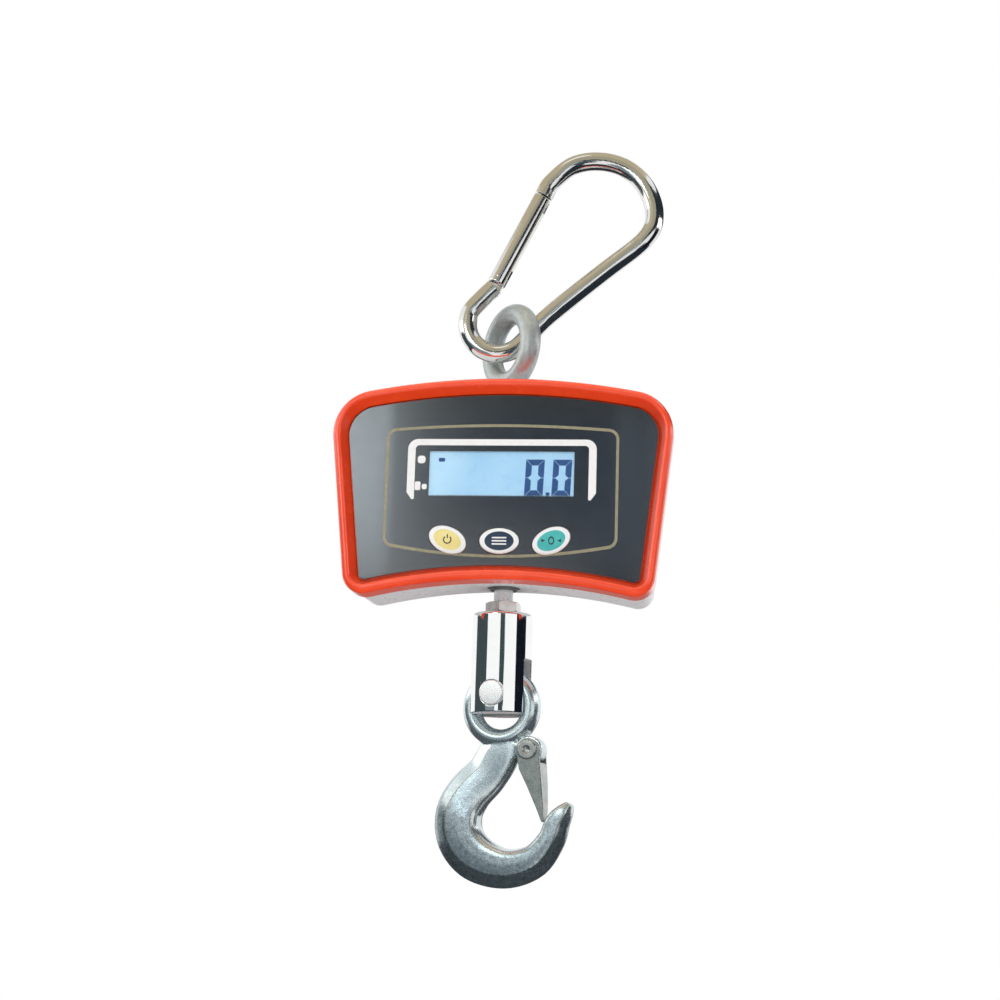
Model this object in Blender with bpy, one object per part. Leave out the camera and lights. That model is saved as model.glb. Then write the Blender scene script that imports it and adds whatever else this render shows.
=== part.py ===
# Hanging digital scale with snap hook, eye, housing, swivel clevis and latched load hook
import bpy
import bmesh
import math
from mathutils import Vector

for item in list(bpy.data.objects):
    bpy.data.objects.remove(item, do_unlink=True)

MM = 0.001

# Clearances between pieces, and how far posts sink in and cutters run past
GAP = 0.3
BORE_GAP = 0.3
ROD_GAP = 0.35
PASS_GAP = 0.4
SINK = 1.0
PAST = 2.0

# Housing outline seen from the front, load axis at x 0, middle of the height at z 0
SIDE_X = 69.2
SIDE_Z = 15.5
SIDE_LEAN = math.radians(6.4)
TOP_Z = 41.6
TOP_RADIUS = 290.0
BOTTOM_Z = -41.4
BOTTOM_RADIUS = 230.0
TOP_CORNER = 18.0
BOTTOM_CORNER = 8.5

# Front bezel
WALL = 2.2
RIM_CREST = 2.3
RIM_ROUND = 3.4
RIM_FLAT = 0.9
RIM_FALL = 0.5
RIM_INSET = 5.9
RECESS = 6.8
FLOOR_THICK = 2.0
PANEL_THICK = 0.9
KEY_ROOM = 6.6

# Rear housing
LIP_L = 2.5
LIP_T = 1.7
LIP_ROOM = 1.7
REAR_STEP = 0.8
REAR_DRAFT = 1.2
REAR_WALL = 2.6
REAR_BREAK = 6.0
BACK_ROUND = 3.2
BACK_EDGE = 4.4
BACK_THICK = 2.4
INNER_ROUND = 0.8

# Display
WINDOW_W = 59.0
WINDOW_H = 18.5
WINDOW_Z = 2.5
LENS_T = 1.2
LENS_SUNK = 0.1
LCD_LAP = 0.4

# Keys and the switches behind them
KEY_A = 8.0
KEY_B = 5.25
KEY_SPACE = 5.0
KEY_UP = 16.4
KEY_DROP = 0.3
KEY_TILT = math.radians(24.0)
KEY_PROUD = 0.6
KEY_TRAVEL = 0.6
KEY_ROUND = 0.4
KEY_EDGE = 0.3
KEY_CROWN = 1.2
FLANGE_W = 1.4
FLANGE_T = 0.8
STEM_R = 2.0
STEM_L = 1.2
PLUNGER_R = 1.7
PLUNGER_L = 0.8
SWITCH_HALF = 3.0

# Circuit board and its screws
BOARD_ROOM = 4.5
BOARD_THICK = 1.6
BOARD_SIDE = 0.5
BOARD_TOP = 19.6
BOARD_LOW = 9.4
POST_SIDE = 4.0
POST_TOP = 5.0
POST_LOW = 18.0
POST_R = 3.0
BOARD_SCREW_R = 1.2
BOARD_SCREW_L = 5.8
BOARD_HEAD_R = 2.4
BOARD_HEAD_H = 1.4

# Case screws
CASE_TOP_SIDE = 13.2
CASE_TOP_IN = 17.6
CASE_LOW_SIDE = 18.2
CASE_LOW_IN = 7.4
CASE_POST_R = 4.2
CASE_POST_L = 0.6
COLUMN_R = 4.5
CASE_SCREW_R = 1.5
CASE_TIP_IN = 1.2
CASE_HEAD_R = 3.2
CASE_HEAD_H = 2.4
CASE_SINK = 4.0
SOCKET_R = 1.1
SOCKET_DEEP = 0.8
SCREW_EDGE = 0.6

# Battery bay and door
CELL_D = 10.4
CELL_L = 44.5
CELL_EDGE = 0.5
NUB_R = 1.9
NUB_L = 1.0
CELL_SPACE = 1.6
CELL_SLACK = 0.5
BAY_ROOM = 0.5
BAY_WALL = 1.8
BAY_RIM = 2.2
BAY_SIDE = 0.8
BAY_END = 1.5
CONTACT_T = 0.6
CONTACT_IN = 0.6
DOOR_LIP_X = 6.25
DOOR_LIP_Z = 4.0
DOOR_THICK = 2.0
GRIP_HALF = 9.0
GRIP_PITCH = 2.2
GRIP_W = 1.1
GRIP_DEEP = 0.6
GRIP_IN = 8.0

# Eye bolt, its collar, seal and bosses
ROD_R = 4.0
ROD_IN = 10.0
EYE_HOLE_R = 10.1
EYE_WIRE = 4.4
EYE_TURN = math.radians(51.0)
EYE_LIFT = 0.4
COLLAR_R = 7.4
COLLAR_T = 1.6
COLLAR_CONE = 0.8
NECK_R = 5.2
NECK_IN = 0.8
BOSS_DROP = 0.7
BOSS_LIFT = 0.5
BOSS_H = 6.5
BOSS_WALL = 4.3
SLEEVE_T = 2.05
SLEEVE_L = 4.9
SEAL_T = 1.2
SEAL_W = 1.2
SEAL_EDGE = 0.6
BUSH_R = 8.2
BUSH_T = 1.7
BUSH_EDGE = 0.6

# Nuts and load cell
NUT_FLAT = 13.0
NUT_H = 4.2
NUT_EDGE = 0.6
NUT_TURN = 0.8
LOCK_H = 6.0
LOCK_ROOM = 2.1
STUD_SHOW = 4.1
STUD_EDGE = 0.6
BEAM_HALF_X = 14.0
BEAM_FRONT = 2.5
BEAM_BACK = 1.5
BEAM_CUT_Z = 8.0
BEAM_CUT_W = 2.0
BEAM_REST = 5.0
TAP_PAST = 1.0
GAUGE_X = 7.5
GAUGE_Z = 6.0
GAUGE_T = 1.0

# Snap hook; the shape lists give across and up from the start of the narrow bend or the gate's upper end
WIRE_R = 4.0
BEND_IN_R = 9.3
BEND_FROM = math.radians(-38.0)
BEND_TO = math.radians(-206.0)
LEG_GAP = 0.34
LEG_BOW = 0.437
LEG_BACK = 6.363
LEG_LINE = ((34.62, 31.79), (21.82, 21.19), (9.32, 10.29))
HEEL = (-6.4, 12.1)
CROWN = ((3.15, 5.8), (12.35, 13.8), (23.55, 15.7), (34.65, 12.6), (43.35, 4.4), (47.65, -8.1), (43.95, -19.4))
HANG_CROWN = (39.14, 10.05)
HANG_LEAN = math.radians(40.35)

# Gate of the snap hook
GATE_OFFSET = (-0.3, 20.4)
GATE_LEAN = math.radians(26.0)
GATE_L = 39.9
GATE_TAIL = 3.6
GATE_EDGE = 0.5
TAIL_EDGE = 1.3
SHOULDER_GAP = 0.6
HEEL_GAP = 1.2
TONGUE_T = 2.6
TONGUE_W = 3.3
TONGUE_IN = 3.2
SLOT_DEEP = 1.3
GATE_PIN_R = 1.2
GATE_PIN_PROUD = 0.1
PIN_CHAMFER = 0.2
NOSE_L = 4.7
NOSE_SINK = 4.0
NOSE_BARB = 1.0
NOSE_TIP = 2.2
NOSE_FACE = 0.7
NOSE_OUT = 1.0
NOSE_ROOM = 1.8
LATCH_PIN_R = 0.9
LATCH_PIN_ROOM = 0.6
LATCH_PIN_IN = 0.4

# Swivel clevis and its pin
CLEVIS_R = 12.4
CLEVIS_TURN = math.radians(12.0)
CLEVIS_ROOF = 10.0
CLEVIS_EDGE = 0.9
CLEVIS_ROUND = 1.2
CLEVIS_TAIL = 7.9
SWIVEL_GAP = 0.6
SWIVEL_H = 6.3
WASHER_T = 1.2
WASHER_IN = 0.8
POCKET_GAP = 1.1
SLOT_ROOM = 0.6
SPOT_IN = 1.0
PIN_R = 3.5
PIN_OUT = 2.2
PIN_EDGE = 0.6
HEAD_R = 5.0
HEAD_T = 1.3
HEAD_EDGE = 0.5
GROOVE_IN = 0.8
CLIP_IN = 0.5
CLIP_OUT = 1.4
CLIP_T = 0.6

# Load hook; the spine gives across, up and width from the low side of the hook's eye
HOOK_EYE_R = 12.55
HOOK_EYE_WIRE = 3.8
HOOK_EYE_T = 9.6
HOOK_EYE_SIDE = 0.8
HOOK_SWING = math.radians(60.0)
PIN_REST = 0.35
SWING_GAP = 0.6
NECK_OVER = 0.2
NECK_LINE = ((1.2, 0.65, 9.0), (-0.2, -5.05, 17.0), (-5.4, -14.05, 17.6))
BOWL_LINE = ((-12.6, -21.55, 18.6), (-17.0, -30.05, 19.4), (-16.0, -39.85, 19.4), (-8.8, -47.85, 18.6),
             (3.5, -51.55, 15.8), (15.2, -48.55, 13.4), (22.2, -40.55, 11.0), (24.8, -33.55, 10.0),
             (27.8, -28.75, 7.0), (29.8, -25.75, 3.4))
BOWL_THICK = (10.0, 12.4, 13.4, 13.6, 13.4, 12.6, 11.4, 10.2, 9.0, 6.5)

# Safety latch; the shape lists give across and up from the low side of the hook's eye
LATCH_SIDE = 12.9
LATCH_DROP = 4.75
LUG_R = 5.6
LUG_T = 8.0
LUG_WEB = 3.0
LATCH_GAP = 0.35
LATCH_SHEET = 1.2
CHEEK_IN = 0.9
CHEEK_TO = math.radians(190.0)
LATCH_FRONT = ((8.8, -12.55), (11.8, -19.35), (15.8, -28.55), (17.9, -32.95), (19.0, -33.15))
LATCH_BACK = ((19.4, -28.55), (18.7, -19.05))
LATCH_WEB_TOP = 6.4
LATCH_WEB_LOW = 30.15
RIVET_R = 2.25
RIVET_HEAD_R = 4.0
RIVET_HEAD_H = 1.1
RIVET_EDGE = 0.5

# Load line, from the housing's bosses up to the eye and down to the stud's end
BOSS_TOP_Z = TOP_Z - BOSS_DROP
BOSS_LOW_Z = BOTTOM_Z + BOSS_LIFT
BOSS_UNDER_Z = BOSS_TOP_Z - BOSS_H
BOSS_OVER_Z = BOSS_LOW_Z + BOSS_H
LOAD_TOP_Z = BOSS_UNDER_Z - LOCK_ROOM - LOCK_H - GAP
LOAD_LOW_Z = BOSS_OVER_Z + LOCK_ROOM + LOCK_H + GAP
LOAD_MID_Z = (LOAD_TOP_Z + LOAD_LOW_Z) / 2.0
COLLAR_Z = BOSS_TOP_Z + SEAL_T + 2.0 * GAP
EYE_RADIUS = EYE_HOLE_R + EYE_WIRE
EYE_Z = COLLAR_Z + EYE_LIFT + EYE_WIRE + EYE_RADIUS
EYE_TOP_Z = EYE_Z + EYE_RADIUS
SLEEVE_R = ROD_R + ROD_GAP + SLEEVE_T
BUSH_LOW_Z = BOSS_LOW_Z - GAP - BUSH_T
NUT_CORNER = NUT_FLAT / math.sqrt(3.0)
NUT_TOP_Z = BUSH_LOW_Z - STUD_SHOW
NUT_LOW_Z = NUT_TOP_Z - NUT_H
CLEVIS_TOP_Z = NUT_LOW_Z - SWIVEL_GAP
WASHER_Z = CLEVIS_TOP_Z - CLEVIS_ROOF - GAP
SWIVEL_TOP_Z = WASHER_Z - WASHER_T - GAP
STUD_END_Z = SWIVEL_TOP_Z - SWIVEL_H
SLOT_TOP_Z = STUD_END_Z - SLOT_ROOM
HOOK_EYE_DROP = HOOK_EYE_R - HOOK_EYE_WIRE - PIN_R - PIN_REST
PIN_Z = SLOT_TOP_Z - SWING_GAP - HOOK_EYE_R - HOOK_EYE_WIRE + HOOK_EYE_DROP * math.cos(HOOK_SWING)
CLEVIS_LOW_Z = PIN_Z - CLEVIS_TAIL
HOOK_EYE_Z = PIN_Z - HOOK_EYE_DROP
HOOK_NECK_Z = HOOK_EYE_Z - HOOK_EYE_R

# Depths, from the load axis to the front (minus y) and to the back
BEAM_FRONT_Y = -ROD_R - BEAM_FRONT
BEAM_BACK_Y = ROD_R + BEAM_BACK
BOARD_BACK_Y = BEAM_FRONT_Y - BOARD_ROOM
BOARD_FRONT_Y = BOARD_BACK_Y - BOARD_THICK
FLOOR_BACK_Y = BOARD_FRONT_Y - KEY_ROOM
FLOOR_FRONT_Y = FLOOR_BACK_Y - FLOOR_THICK
FRONT_Y = FLOOR_FRONT_Y - RECESS
PANEL_BACK_Y = FLOOR_FRONT_Y - GAP
PANEL_FRONT_Y = PANEL_BACK_Y - PANEL_THICK
LIP_Y = FLOOR_BACK_Y + LIP_ROOM
SPLIT_Y = LIP_Y + LIP_L
BAY_FRONT_Y = NUT_CORNER + BAY_ROOM
BAY_FLOOR_Y = BAY_FRONT_Y + BAY_WALL
SEAT_Y = BAY_FLOOR_Y + CELL_D + CELL_SLACK
BACK_Y = SEAT_Y + GAP + DOOR_THICK

# Directions
ACROSS = Vector((1.0, 0.0, 0.0))
FRONT_IN = Vector((0.0, 1.0, 0.0))
UP = Vector((0.0, 0.0, 1.0))
ORIGIN = Vector((0.0, 0.0, 0.0))
PIN_AXIS = Vector((-math.sin(CLEVIS_TURN), -math.cos(CLEVIS_TURN), 0.0))
HOOK_X = Vector((math.cos(CLEVIS_TURN), -math.sin(CLEVIS_TURN), 0.0))
GATE_DIR = Vector((math.sin(GATE_LEAN), 0.0, math.cos(GATE_LEAN)))
GATE_IN = Vector((math.cos(GATE_LEAN), 0.0, -math.sin(GATE_LEAN)))
BEND_DIR = Vector((math.cos(BEND_FROM), 0.0, math.sin(BEND_FROM)))
LEG_DIR = Vector((-math.sin(BEND_FROM), 0.0, math.cos(BEND_FROM)))
HANG_DIR = Vector((math.sin(HANG_LEAN), 0.0, math.cos(HANG_LEAN)))


def leg_offset():
    """How far out the snap hook's leg has to run to clear the eye's upper limb."""
    offsets = []
    for k in range(10):
        a = math.radians(10.0 * k)
        side = EYE_RADIUS * math.sin(a)
        room = (EYE_WIRE + WIRE_R + LEG_GAP) ** 2 - (side * math.sin(EYE_TURN)) ** 2
        if room > 0.0:
            limb = ACROSS * (side * math.cos(EYE_TURN)) + UP * (EYE_Z + EYE_RADIUS * math.cos(a))
            offsets.append(limb.dot(BEND_DIR) + math.sqrt(room))
    return max(offsets)


# Points each group turns about; the snap hook hangs its narrow bend through the eye
BEND_R = BEND_IN_R + WIRE_R
LEG_AT = BEND_DIR * (leg_offset() - LEG_BOW) + LEG_DIR * (EYE_TOP_Z * LEG_DIR.z - LEG_BACK)
BEND_AT = LEG_AT - BEND_DIR * BEND_R
PIVOT_GATE = BEND_AT + ACROSS * GATE_OFFSET[0] + UP * GATE_OFFSET[1]
CROWN_AT = PIVOT_GATE + GATE_DIR * (GATE_L + SHOULDER_GAP)
HANG = CROWN_AT + ACROSS * HANG_CROWN[0] + UP * HANG_CROWN[1] - HANG_DIR * WIRE_R
PIVOT_BODY = UP * EYE_TOP_Z
PIVOT_CLEVIS = UP * CLEVIS_TOP_Z
PIVOT_HOOK = UP * PIN_Z
LATCH_U = HOOK_EYE_SIDE + LATCH_SIDE
LATCH_V = HOOK_NECK_Z - LATCH_DROP
PIVOT_LATCH = HOOK_X * LATCH_U + UP * LATCH_V

STEEL = (0.62, 0.62, 0.60)
DARK = (0.03, 0.03, 0.035)
NUT_LOOK = ((0.58, 0.58, 0.55), 0.25, 1.0)


def add_object(name, verts, faces, pivot, look=None):
    """Make one mesh object whose origin sits on its pivot; verts in millimetres."""
    mesh = bpy.data.meshes.new(name)
    points = [tuple((Vector(v) - pivot) * MM) for v in verts]
    mesh.from_pydata(points, [], faces)
    bm = bmesh.new()
    bm.from_mesh(mesh)
    bmesh.ops.remove_doubles(bm, verts=bm.verts, dist=1e-7)
    bmesh.ops.recalc_face_normals(bm, faces=bm.faces)
    bm.to_mesh(mesh)
    bm.free()
    obj = bpy.data.objects.new(name, mesh)
    obj.location = (pivot - HANG) * MM
    bpy.context.scene.collection.objects.link(obj)
    if look is not None:
        colour, rough, metal = look
        mat = bpy.data.materials.new(name + "_mat")
        mat.use_nodes = True
        shader = mat.node_tree.nodes["Principled BSDF"]
        shader.inputs["Base Color"].default_value = (*colour, 1.0)
        shader.inputs["Roughness"].default_value = rough
        shader.inputs["Metallic"].default_value = metal
        mesh.materials.append(mat)
    return obj


def loft_data(loops, closed=False):
    """Verts and faces through equal loops, capped at both ends unless closed."""
    count = len(loops[0])
    verts = [p for loop in loops for p in loop]
    faces = []
    rows = len(loops)
    for i in range(rows if closed else rows - 1):
        a = i * count
        b = ((i + 1) % rows) * count
        for j in range(count):
            k = (j + 1) % count
            faces.append((a + j, a + k, b + k, b + j))
    if not closed:
        faces.append(tuple(range(count)))
        faces.append(tuple(range((rows - 1) * count, rows * count)))
    return verts, faces


def merge(*parts):
    """Join several vert and face lists into one."""
    verts = []
    faces = []
    for part_verts, part_faces in parts:
        base = len(verts)
        verts += list(part_verts)
        faces += [tuple(i + base for i in f) for f in part_faces]
    return verts, faces


def boolean(target, kind, name, data):
    """Add or take away a hidden helper body."""
    helper = add_object(name, data[0], data[1], HANG)
    helper.hide_render = True
    helper.display_type = "WIRE"
    mod = target.modifiers.new(name, "BOOLEAN")
    mod.operation = kind
    mod.solver = "EXACT"
    mod.object = helper


def side_frame(axis):
    """Two directions square to an axis."""
    axis = axis.normalized()
    ref = UP if abs(axis.z) < 0.9 else ACROSS
    first = axis.cross(ref).normalized()
    return first, axis.cross(first).normalized()


def turned(profile, origin, axis, steps):
    """Loops of revolution from (radius, height) pairs with radius above zero."""
    first, second = side_frame(axis)
    loops = []
    for radius, height in profile:
        loop = []
        for i in range(steps):
            a = 2.0 * math.pi * i / steps
            spoke = first * math.cos(a) + second * math.sin(a)
            loop.append(origin + axis * height + spoke * radius)
        loops.append(loop)
    return loops


def turned_solid(profile, origin, axis, steps):
    return loft_data(turned(profile, origin, axis, steps))


def turned_ring(profile, origin, axis, steps):
    return loft_data(turned(profile, origin, axis, steps), closed=True)


def bar(radius, origin, axis, h0, h1, steps=16):
    return turned_solid([(radius, h0), (radius, h1)], origin, axis, steps)


def block(x0, x1, y0, y1, z0, z1):
    """Plain box."""
    loops = []
    for y in (y0, y1):
        loops.append([(x0, y, z0), (x1, y, z0), (x1, y, z1), (x0, y, z1)])
    return loft_data(loops)


def oval(cx, cz, a, b, y, tilt=0.0, steps=20, power=2.0):
    """Oval loop in a plane facing the front."""
    loop = []
    for i in range(steps):
        t = 2.0 * math.pi * i / steps
        c = math.copysign(abs(math.cos(t)) ** (2.0 / power), math.cos(t))
        s = math.copysign(abs(math.sin(t)) ** (2.0 / power), math.sin(t))
        u = a * c
        v = b * s
        x = cx + u * math.cos(tilt) - v * math.sin(tilt)
        z = cz + u * math.sin(tilt) + v * math.cos(tilt)
        loop.append((x, y, z))
    return loop


def outline(inset, y):
    """Housing outline moved inwards by inset; the right half by formula, the left mirrored."""
    along = Vector((math.sin(SIDE_LEAN), math.cos(SIDE_LEAN)))
    inward = Vector((-math.cos(SIDE_LEAN), math.sin(SIDE_LEAN)))
    base = Vector((SIDE_X, SIDE_Z))
    top_c = Vector((0.0, TOP_Z - TOP_RADIUS))
    low_c = Vector((0.0, BOTTOM_Z - BOTTOM_RADIUS))

    def corner(radius, centre, reach):
        start = base + inward * radius - centre
        half = start.dot(along)
        rest = start.dot(start) - reach * reach
        t = -half + math.sqrt(half * half - rest)
        return start + along * t + centre

    upper = corner(TOP_CORNER, top_c, TOP_RADIUS - TOP_CORNER)
    lower = corner(BOTTOM_CORNER, low_c, BOTTOM_RADIUS + BOTTOM_CORNER)
    side = math.atan2(-inward.y, -inward.x)
    up_dir = upper - top_c
    low_dir = low_c - lower
    up_angle = math.atan2(up_dir.y, up_dir.x)
    low_angle = math.atan2(low_dir.y, low_dir.x)
    low_end = math.atan2(-low_dir.y, -low_dir.x)
    middle = math.pi / 2.0
    parts = [(low_c, BOTTOM_RADIUS + inset, middle, low_end, 0, 6, 6)]
    parts += [(lower, BOTTOM_CORNER - inset, low_angle, side, 0, 6, 5)]
    parts += [(upper, TOP_CORNER - inset, side, up_angle, 0, 8, 7)]
    parts += [(top_c, TOP_RADIUS - inset, up_angle, middle, 1, 6, 5)]
    pts = []
    for centre, radius, a0, a1, first, last, steps in parts:
        for i in range(first, last):
            a = a0 + (a1 - a0) * i / steps
            pts.append(centre + Vector((math.cos(a), math.sin(a))) * radius)
    left = [Vector((-p.x, p.y)) for p in pts[1:-1]]
    pts += list(reversed(left))
    return [(p.x, y, p.y) for p in pts]


def shell(rows):
    return loft_data([outline(inset, y) for inset, y in rows])


def smooth(rows, steps):
    """Curve through rows of numbers."""
    vecs = [Vector(r) for r in rows]
    vecs = [vecs[0] * 2.0 - vecs[1]] + vecs + [vecs[-1] * 2.0 - vecs[-2]]
    out = []
    for i in range(1, len(vecs) - 2):
        a, b, c, d = vecs[i - 1:i + 3]
        for s in range(steps):
            t = s / steps
            mid = b * 2.0 + (c - a) * t + (a * 2.0 - b * 5.0 + c * 4.0 - d) * t * t
            out.append((mid + (b * 3.0 - a - c * 3.0 + d) * t ** 3) * 0.5)
    out.append(vecs[-2])
    return out


def swept(rows, across, deep, steps, power=2.0):
    """Loops along a flat path of (u, v, half width, half thickness)."""
    loops = []
    for i, row in enumerate(rows):
        before = rows[max(i - 1, 0)]
        after = rows[min(i + 1, len(rows) - 1)]
        du = after[0] - before[0]
        dv = after[1] - before[1]
        size = math.hypot(du, dv)
        side = across * (dv / size) - UP * (du / size)
        here = across * row[0] + UP * row[1]
        loop = []
        for k in range(steps):
            t = 2.0 * math.pi * (k + 0.5) / steps
            c = math.copysign(abs(math.cos(t)) ** (2.0 / power), math.cos(t))
            s = math.copysign(abs(math.sin(t)) ** (2.0 / power), math.sin(t))
            loop.append(here + side * (row[2] * c) + deep * (row[3] * s))
        loops.append(loop)
    return loops


def flat_piece(points, across, deep, d0, d1):
    """Straight extrusion of an outline given across and up."""
    loops = []
    for d in (d0, d1):
        loops.append([across * u + UP * v + deep * d for u, v in points])
    return loft_data(loops)


def arc(cx, cy, radius, a0, a1, steps):
    pts = []
    for i in range(steps + 1):
        a = a0 + (a1 - a0) * i / steps
        pts.append((cx + radius * math.cos(a), cy + radius * math.sin(a)))
    return pts


def from_point(at, pairs):
    """Across and up pairs moved to start from a point."""
    return [(at.x + u, at.z + v) for u, v in pairs]


def gate_point(s, q):
    """Point along the closed gate, s from its pivot, q towards the inside of the loop."""
    p = PIVOT_GATE + GATE_DIR * s + GATE_IN * q
    return p.x, p.z


def gate_piece(pairs, half):
    """Flat body on the gate's middle plane from (s, q) pairs."""
    return flat_piece([gate_point(s, q) for s, q in pairs], ACROSS, FRONT_IN, -half, half)


# Snap hook: a bent bar with a tongue at the hinge and a barbed nose
path = [gate_point(GATE_L + SHOULDER_GAP, 0.0)]
path += from_point(CROWN_AT, CROWN)
path += from_point(LEG_AT, LEG_LINE)
path += arc(BEND_AT.x, BEND_AT.z, BEND_R, BEND_FROM, BEND_TO, 8)
path += from_point(BEND_AT, [HEEL])
path += [gate_point(-GATE_TAIL - HEEL_GAP, 0.0)]
rows = smooth([(u, v, WIRE_R, WIRE_R) for u, v in path], 3)
body = add_object("carabiner_body", *loft_data(swept(rows, ACROSS, FRONT_IN, 12)), HANG, (STEEL, 0.15, 1.0))
half_tongue = TONGUE_T / 2.0
root = -GATE_TAIL - HEEL_GAP - TONGUE_IN
tongue = [(root, -TONGUE_W), (root, TONGUE_W)]
tongue += [(TONGUE_W * math.sin(k * math.pi / 6.0), TONGUE_W * math.cos(k * math.pi / 6.0)) for k in range(7)]
boolean(body, "UNION", "tongue_add", gate_piece(tongue, half_tongue))
barb = GATE_L - NOSE_L
nose_root = GATE_L + NOSE_SINK
nose = [(nose_root, NOSE_OUT - WIRE_R), (barb, NOSE_OUT - WIRE_R), (barb, NOSE_TIP)]
nose += [(barb + NOSE_BARB, NOSE_TIP), (barb + NOSE_BARB, -NOSE_FACE), (nose_root, -NOSE_FACE)]
boolean(body, "UNION", "nose_add", gate_piece(nose, half_tongue))
through = WIRE_R + PAST
boolean(body, "DIFFERENCE", "tongue_hole",
        bar(GATE_PIN_R + BORE_GAP, PIVOT_GATE, FRONT_IN, -through, through, 12))

# Gate: a round bar slotted at both ends
gate = [(WIRE_R - TAIL_EDGE, -GATE_TAIL), (WIRE_R, TAIL_EDGE - GATE_TAIL)]
gate += [(WIRE_R, GATE_L - GATE_EDGE), (WIRE_R - GATE_EDGE, GATE_L)]
gate_obj = add_object("carabiner_gate", *turned_solid(gate, PIVOT_GATE, GATE_DIR, 16), PIVOT_GATE,
                      (STEEL, 0.16, 1.0))
half_slot = half_tongue + GAP
low_end = TONGUE_W + SLOT_DEEP
low_start = -GATE_TAIL - PAST
low_slot = [(low_start, -through), (low_start, through), (low_end, through), (low_end, -through)]
top_end = barb - NOSE_ROOM
top_stop = GATE_L + PAST
top_slot = [(top_end, -through), (top_end, through), (top_stop, through), (top_stop, -through)]
boolean(gate_obj, "DIFFERENCE", "gate_slots",
        merge(gate_piece(low_slot, half_slot), gate_piece(top_slot, half_slot)))
latch_s = barb + NOSE_BARB + LATCH_PIN_ROOM + LATCH_PIN_R
latch_q = LATCH_PIN_ROOM + LATCH_PIN_R - NOSE_FACE
LATCH_PIN_AT = PIVOT_GATE + GATE_DIR * latch_s + GATE_IN * latch_q
holes = merge(bar(GATE_PIN_R + BORE_GAP, PIVOT_GATE, FRONT_IN, -through, through, 12),
              bar(LATCH_PIN_R + BORE_GAP, LATCH_PIN_AT, FRONT_IN, -through, through, 12))
boolean(gate_obj, "DIFFERENCE", "gate_holes", holes)
end = WIRE_R + GATE_PIN_PROUD
pin = [(GATE_PIN_R - PIN_CHAMFER, -end), (GATE_PIN_R, PIN_CHAMFER - end)]
pin += [(GATE_PIN_R, end - PIN_CHAMFER), (GATE_PIN_R - PIN_CHAMFER, end)]
add_object("gate_pivot_pin", *turned_solid(pin, PIVOT_GATE, FRONT_IN, 12), HANG, (STEEL, 0.3, 1.0))
end = WIRE_R - LATCH_PIN_IN
add_object("gate_latch_pin", *bar(LATCH_PIN_R, LATCH_PIN_AT, FRONT_IN, -end, end, 12), PIVOT_GATE,
           (STEEL, 0.3, 1.0))

# Eye bolt: forged ring, collar and shank
turn = Vector((math.cos(EYE_TURN), -math.sin(EYE_TURN), 0.0))
eye_axis = turn.cross(UP)
ring = [(EYE_RADIUS + u, v) for u, v in arc(0.0, 0.0, EYE_WIRE, 0.0, 2.0 * math.pi, 12)[:-1]]
eye = add_object("eye_bolt", *turned_ring(ring, UP * EYE_Z, eye_axis, 32), PIVOT_BODY,
                 ((0.55, 0.57, 0.56), 0.42, 1.0))
shoulder = COLLAR_Z + COLLAR_T
shank = [(ROD_R, LOAD_TOP_Z - ROD_IN), (ROD_R, COLLAR_Z), (COLLAR_R, COLLAR_Z), (COLLAR_R, shoulder)]
shank += [(NECK_R, shoulder + COLLAR_CONE), (EYE_WIRE - NECK_IN, EYE_Z - EYE_RADIUS + NECK_IN)]
boolean(eye, "UNION", "eye_shank", turned_solid(shank, ORIGIN, UP, 20))
NUT_BORE = ROD_R + BORE_GAP + ROD_GAP / 2.0


def six_sided(name, z0, z1):
    """Six sided nut with a round bore."""
    steps = 24
    loops = []
    for radius, z, flat in ((NUT_BORE, z0, 0), (NUT_CORNER - NUT_TURN, z0, 0), (NUT_CORNER, z0 + NUT_EDGE, 1),
                            (NUT_CORNER, z1 - NUT_EDGE, 1), (NUT_CORNER - NUT_TURN, z1, 0), (NUT_BORE, z1, 0)):
        loop = []
        for i in range(steps):
            a = 2.0 * math.pi * i / steps
            local = (a + math.pi / 6.0) % (math.pi / 3.0) - math.pi / 6.0
            r = radius * math.cos(math.pi / 6.0) / math.cos(local) if flat else radius
            r = min(r, radius)
            loop.append((r * math.cos(a + 0.3), r * math.sin(a + 0.3), z))
        loops.append(loop)
    add_object(name, *loft_data(loops, closed=True), PIVOT_BODY, NUT_LOOK)


six_sided("eye_lock_nut", LOAD_TOP_Z + GAP, LOAD_TOP_Z + GAP + LOCK_H)
six_sided("stud_lock_nut", LOAD_LOW_Z - GAP - LOCK_H, LOAD_LOW_Z - GAP)
six_sided("stud_nut", NUT_LOW_Z, NUT_TOP_Z)

# Rubber seal round the eye bolt and plain bush round the stud
seal_in = ROD_R + ROD_GAP
seal_out = COLLAR_R + SEAL_W
seal_top = COLLAR_Z - GAP
seal = [(seal_in, BOSS_TOP_Z - SLEEVE_L), (SLEEVE_R, BOSS_TOP_Z - SLEEVE_L), (SLEEVE_R, BOSS_TOP_Z + GAP)]
seal += [(seal_out, BOSS_TOP_Z + GAP), (seal_out, seal_top - SEAL_EDGE), (seal_out - SEAL_EDGE, seal_top)]
seal += [(seal_in, seal_top)]
add_object("top_grommet", *turned_ring(seal, ORIGIN, UP, 24), PIVOT_BODY, (DARK, 0.85, 0.0))
bush = [(seal_in, BOSS_LOW_Z + SLEEVE_L), (SLEEVE_R, BOSS_LOW_Z + SLEEVE_L), (SLEEVE_R, BOSS_LOW_Z - GAP)]
bush += [(BUSH_R, BOSS_LOW_Z - GAP), (BUSH_R, BUSH_LOW_Z + BUSH_EDGE), (BUSH_R - BUSH_EDGE, BUSH_LOW_Z)]
bush += [(seal_in, BUSH_LOW_Z)]
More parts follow.
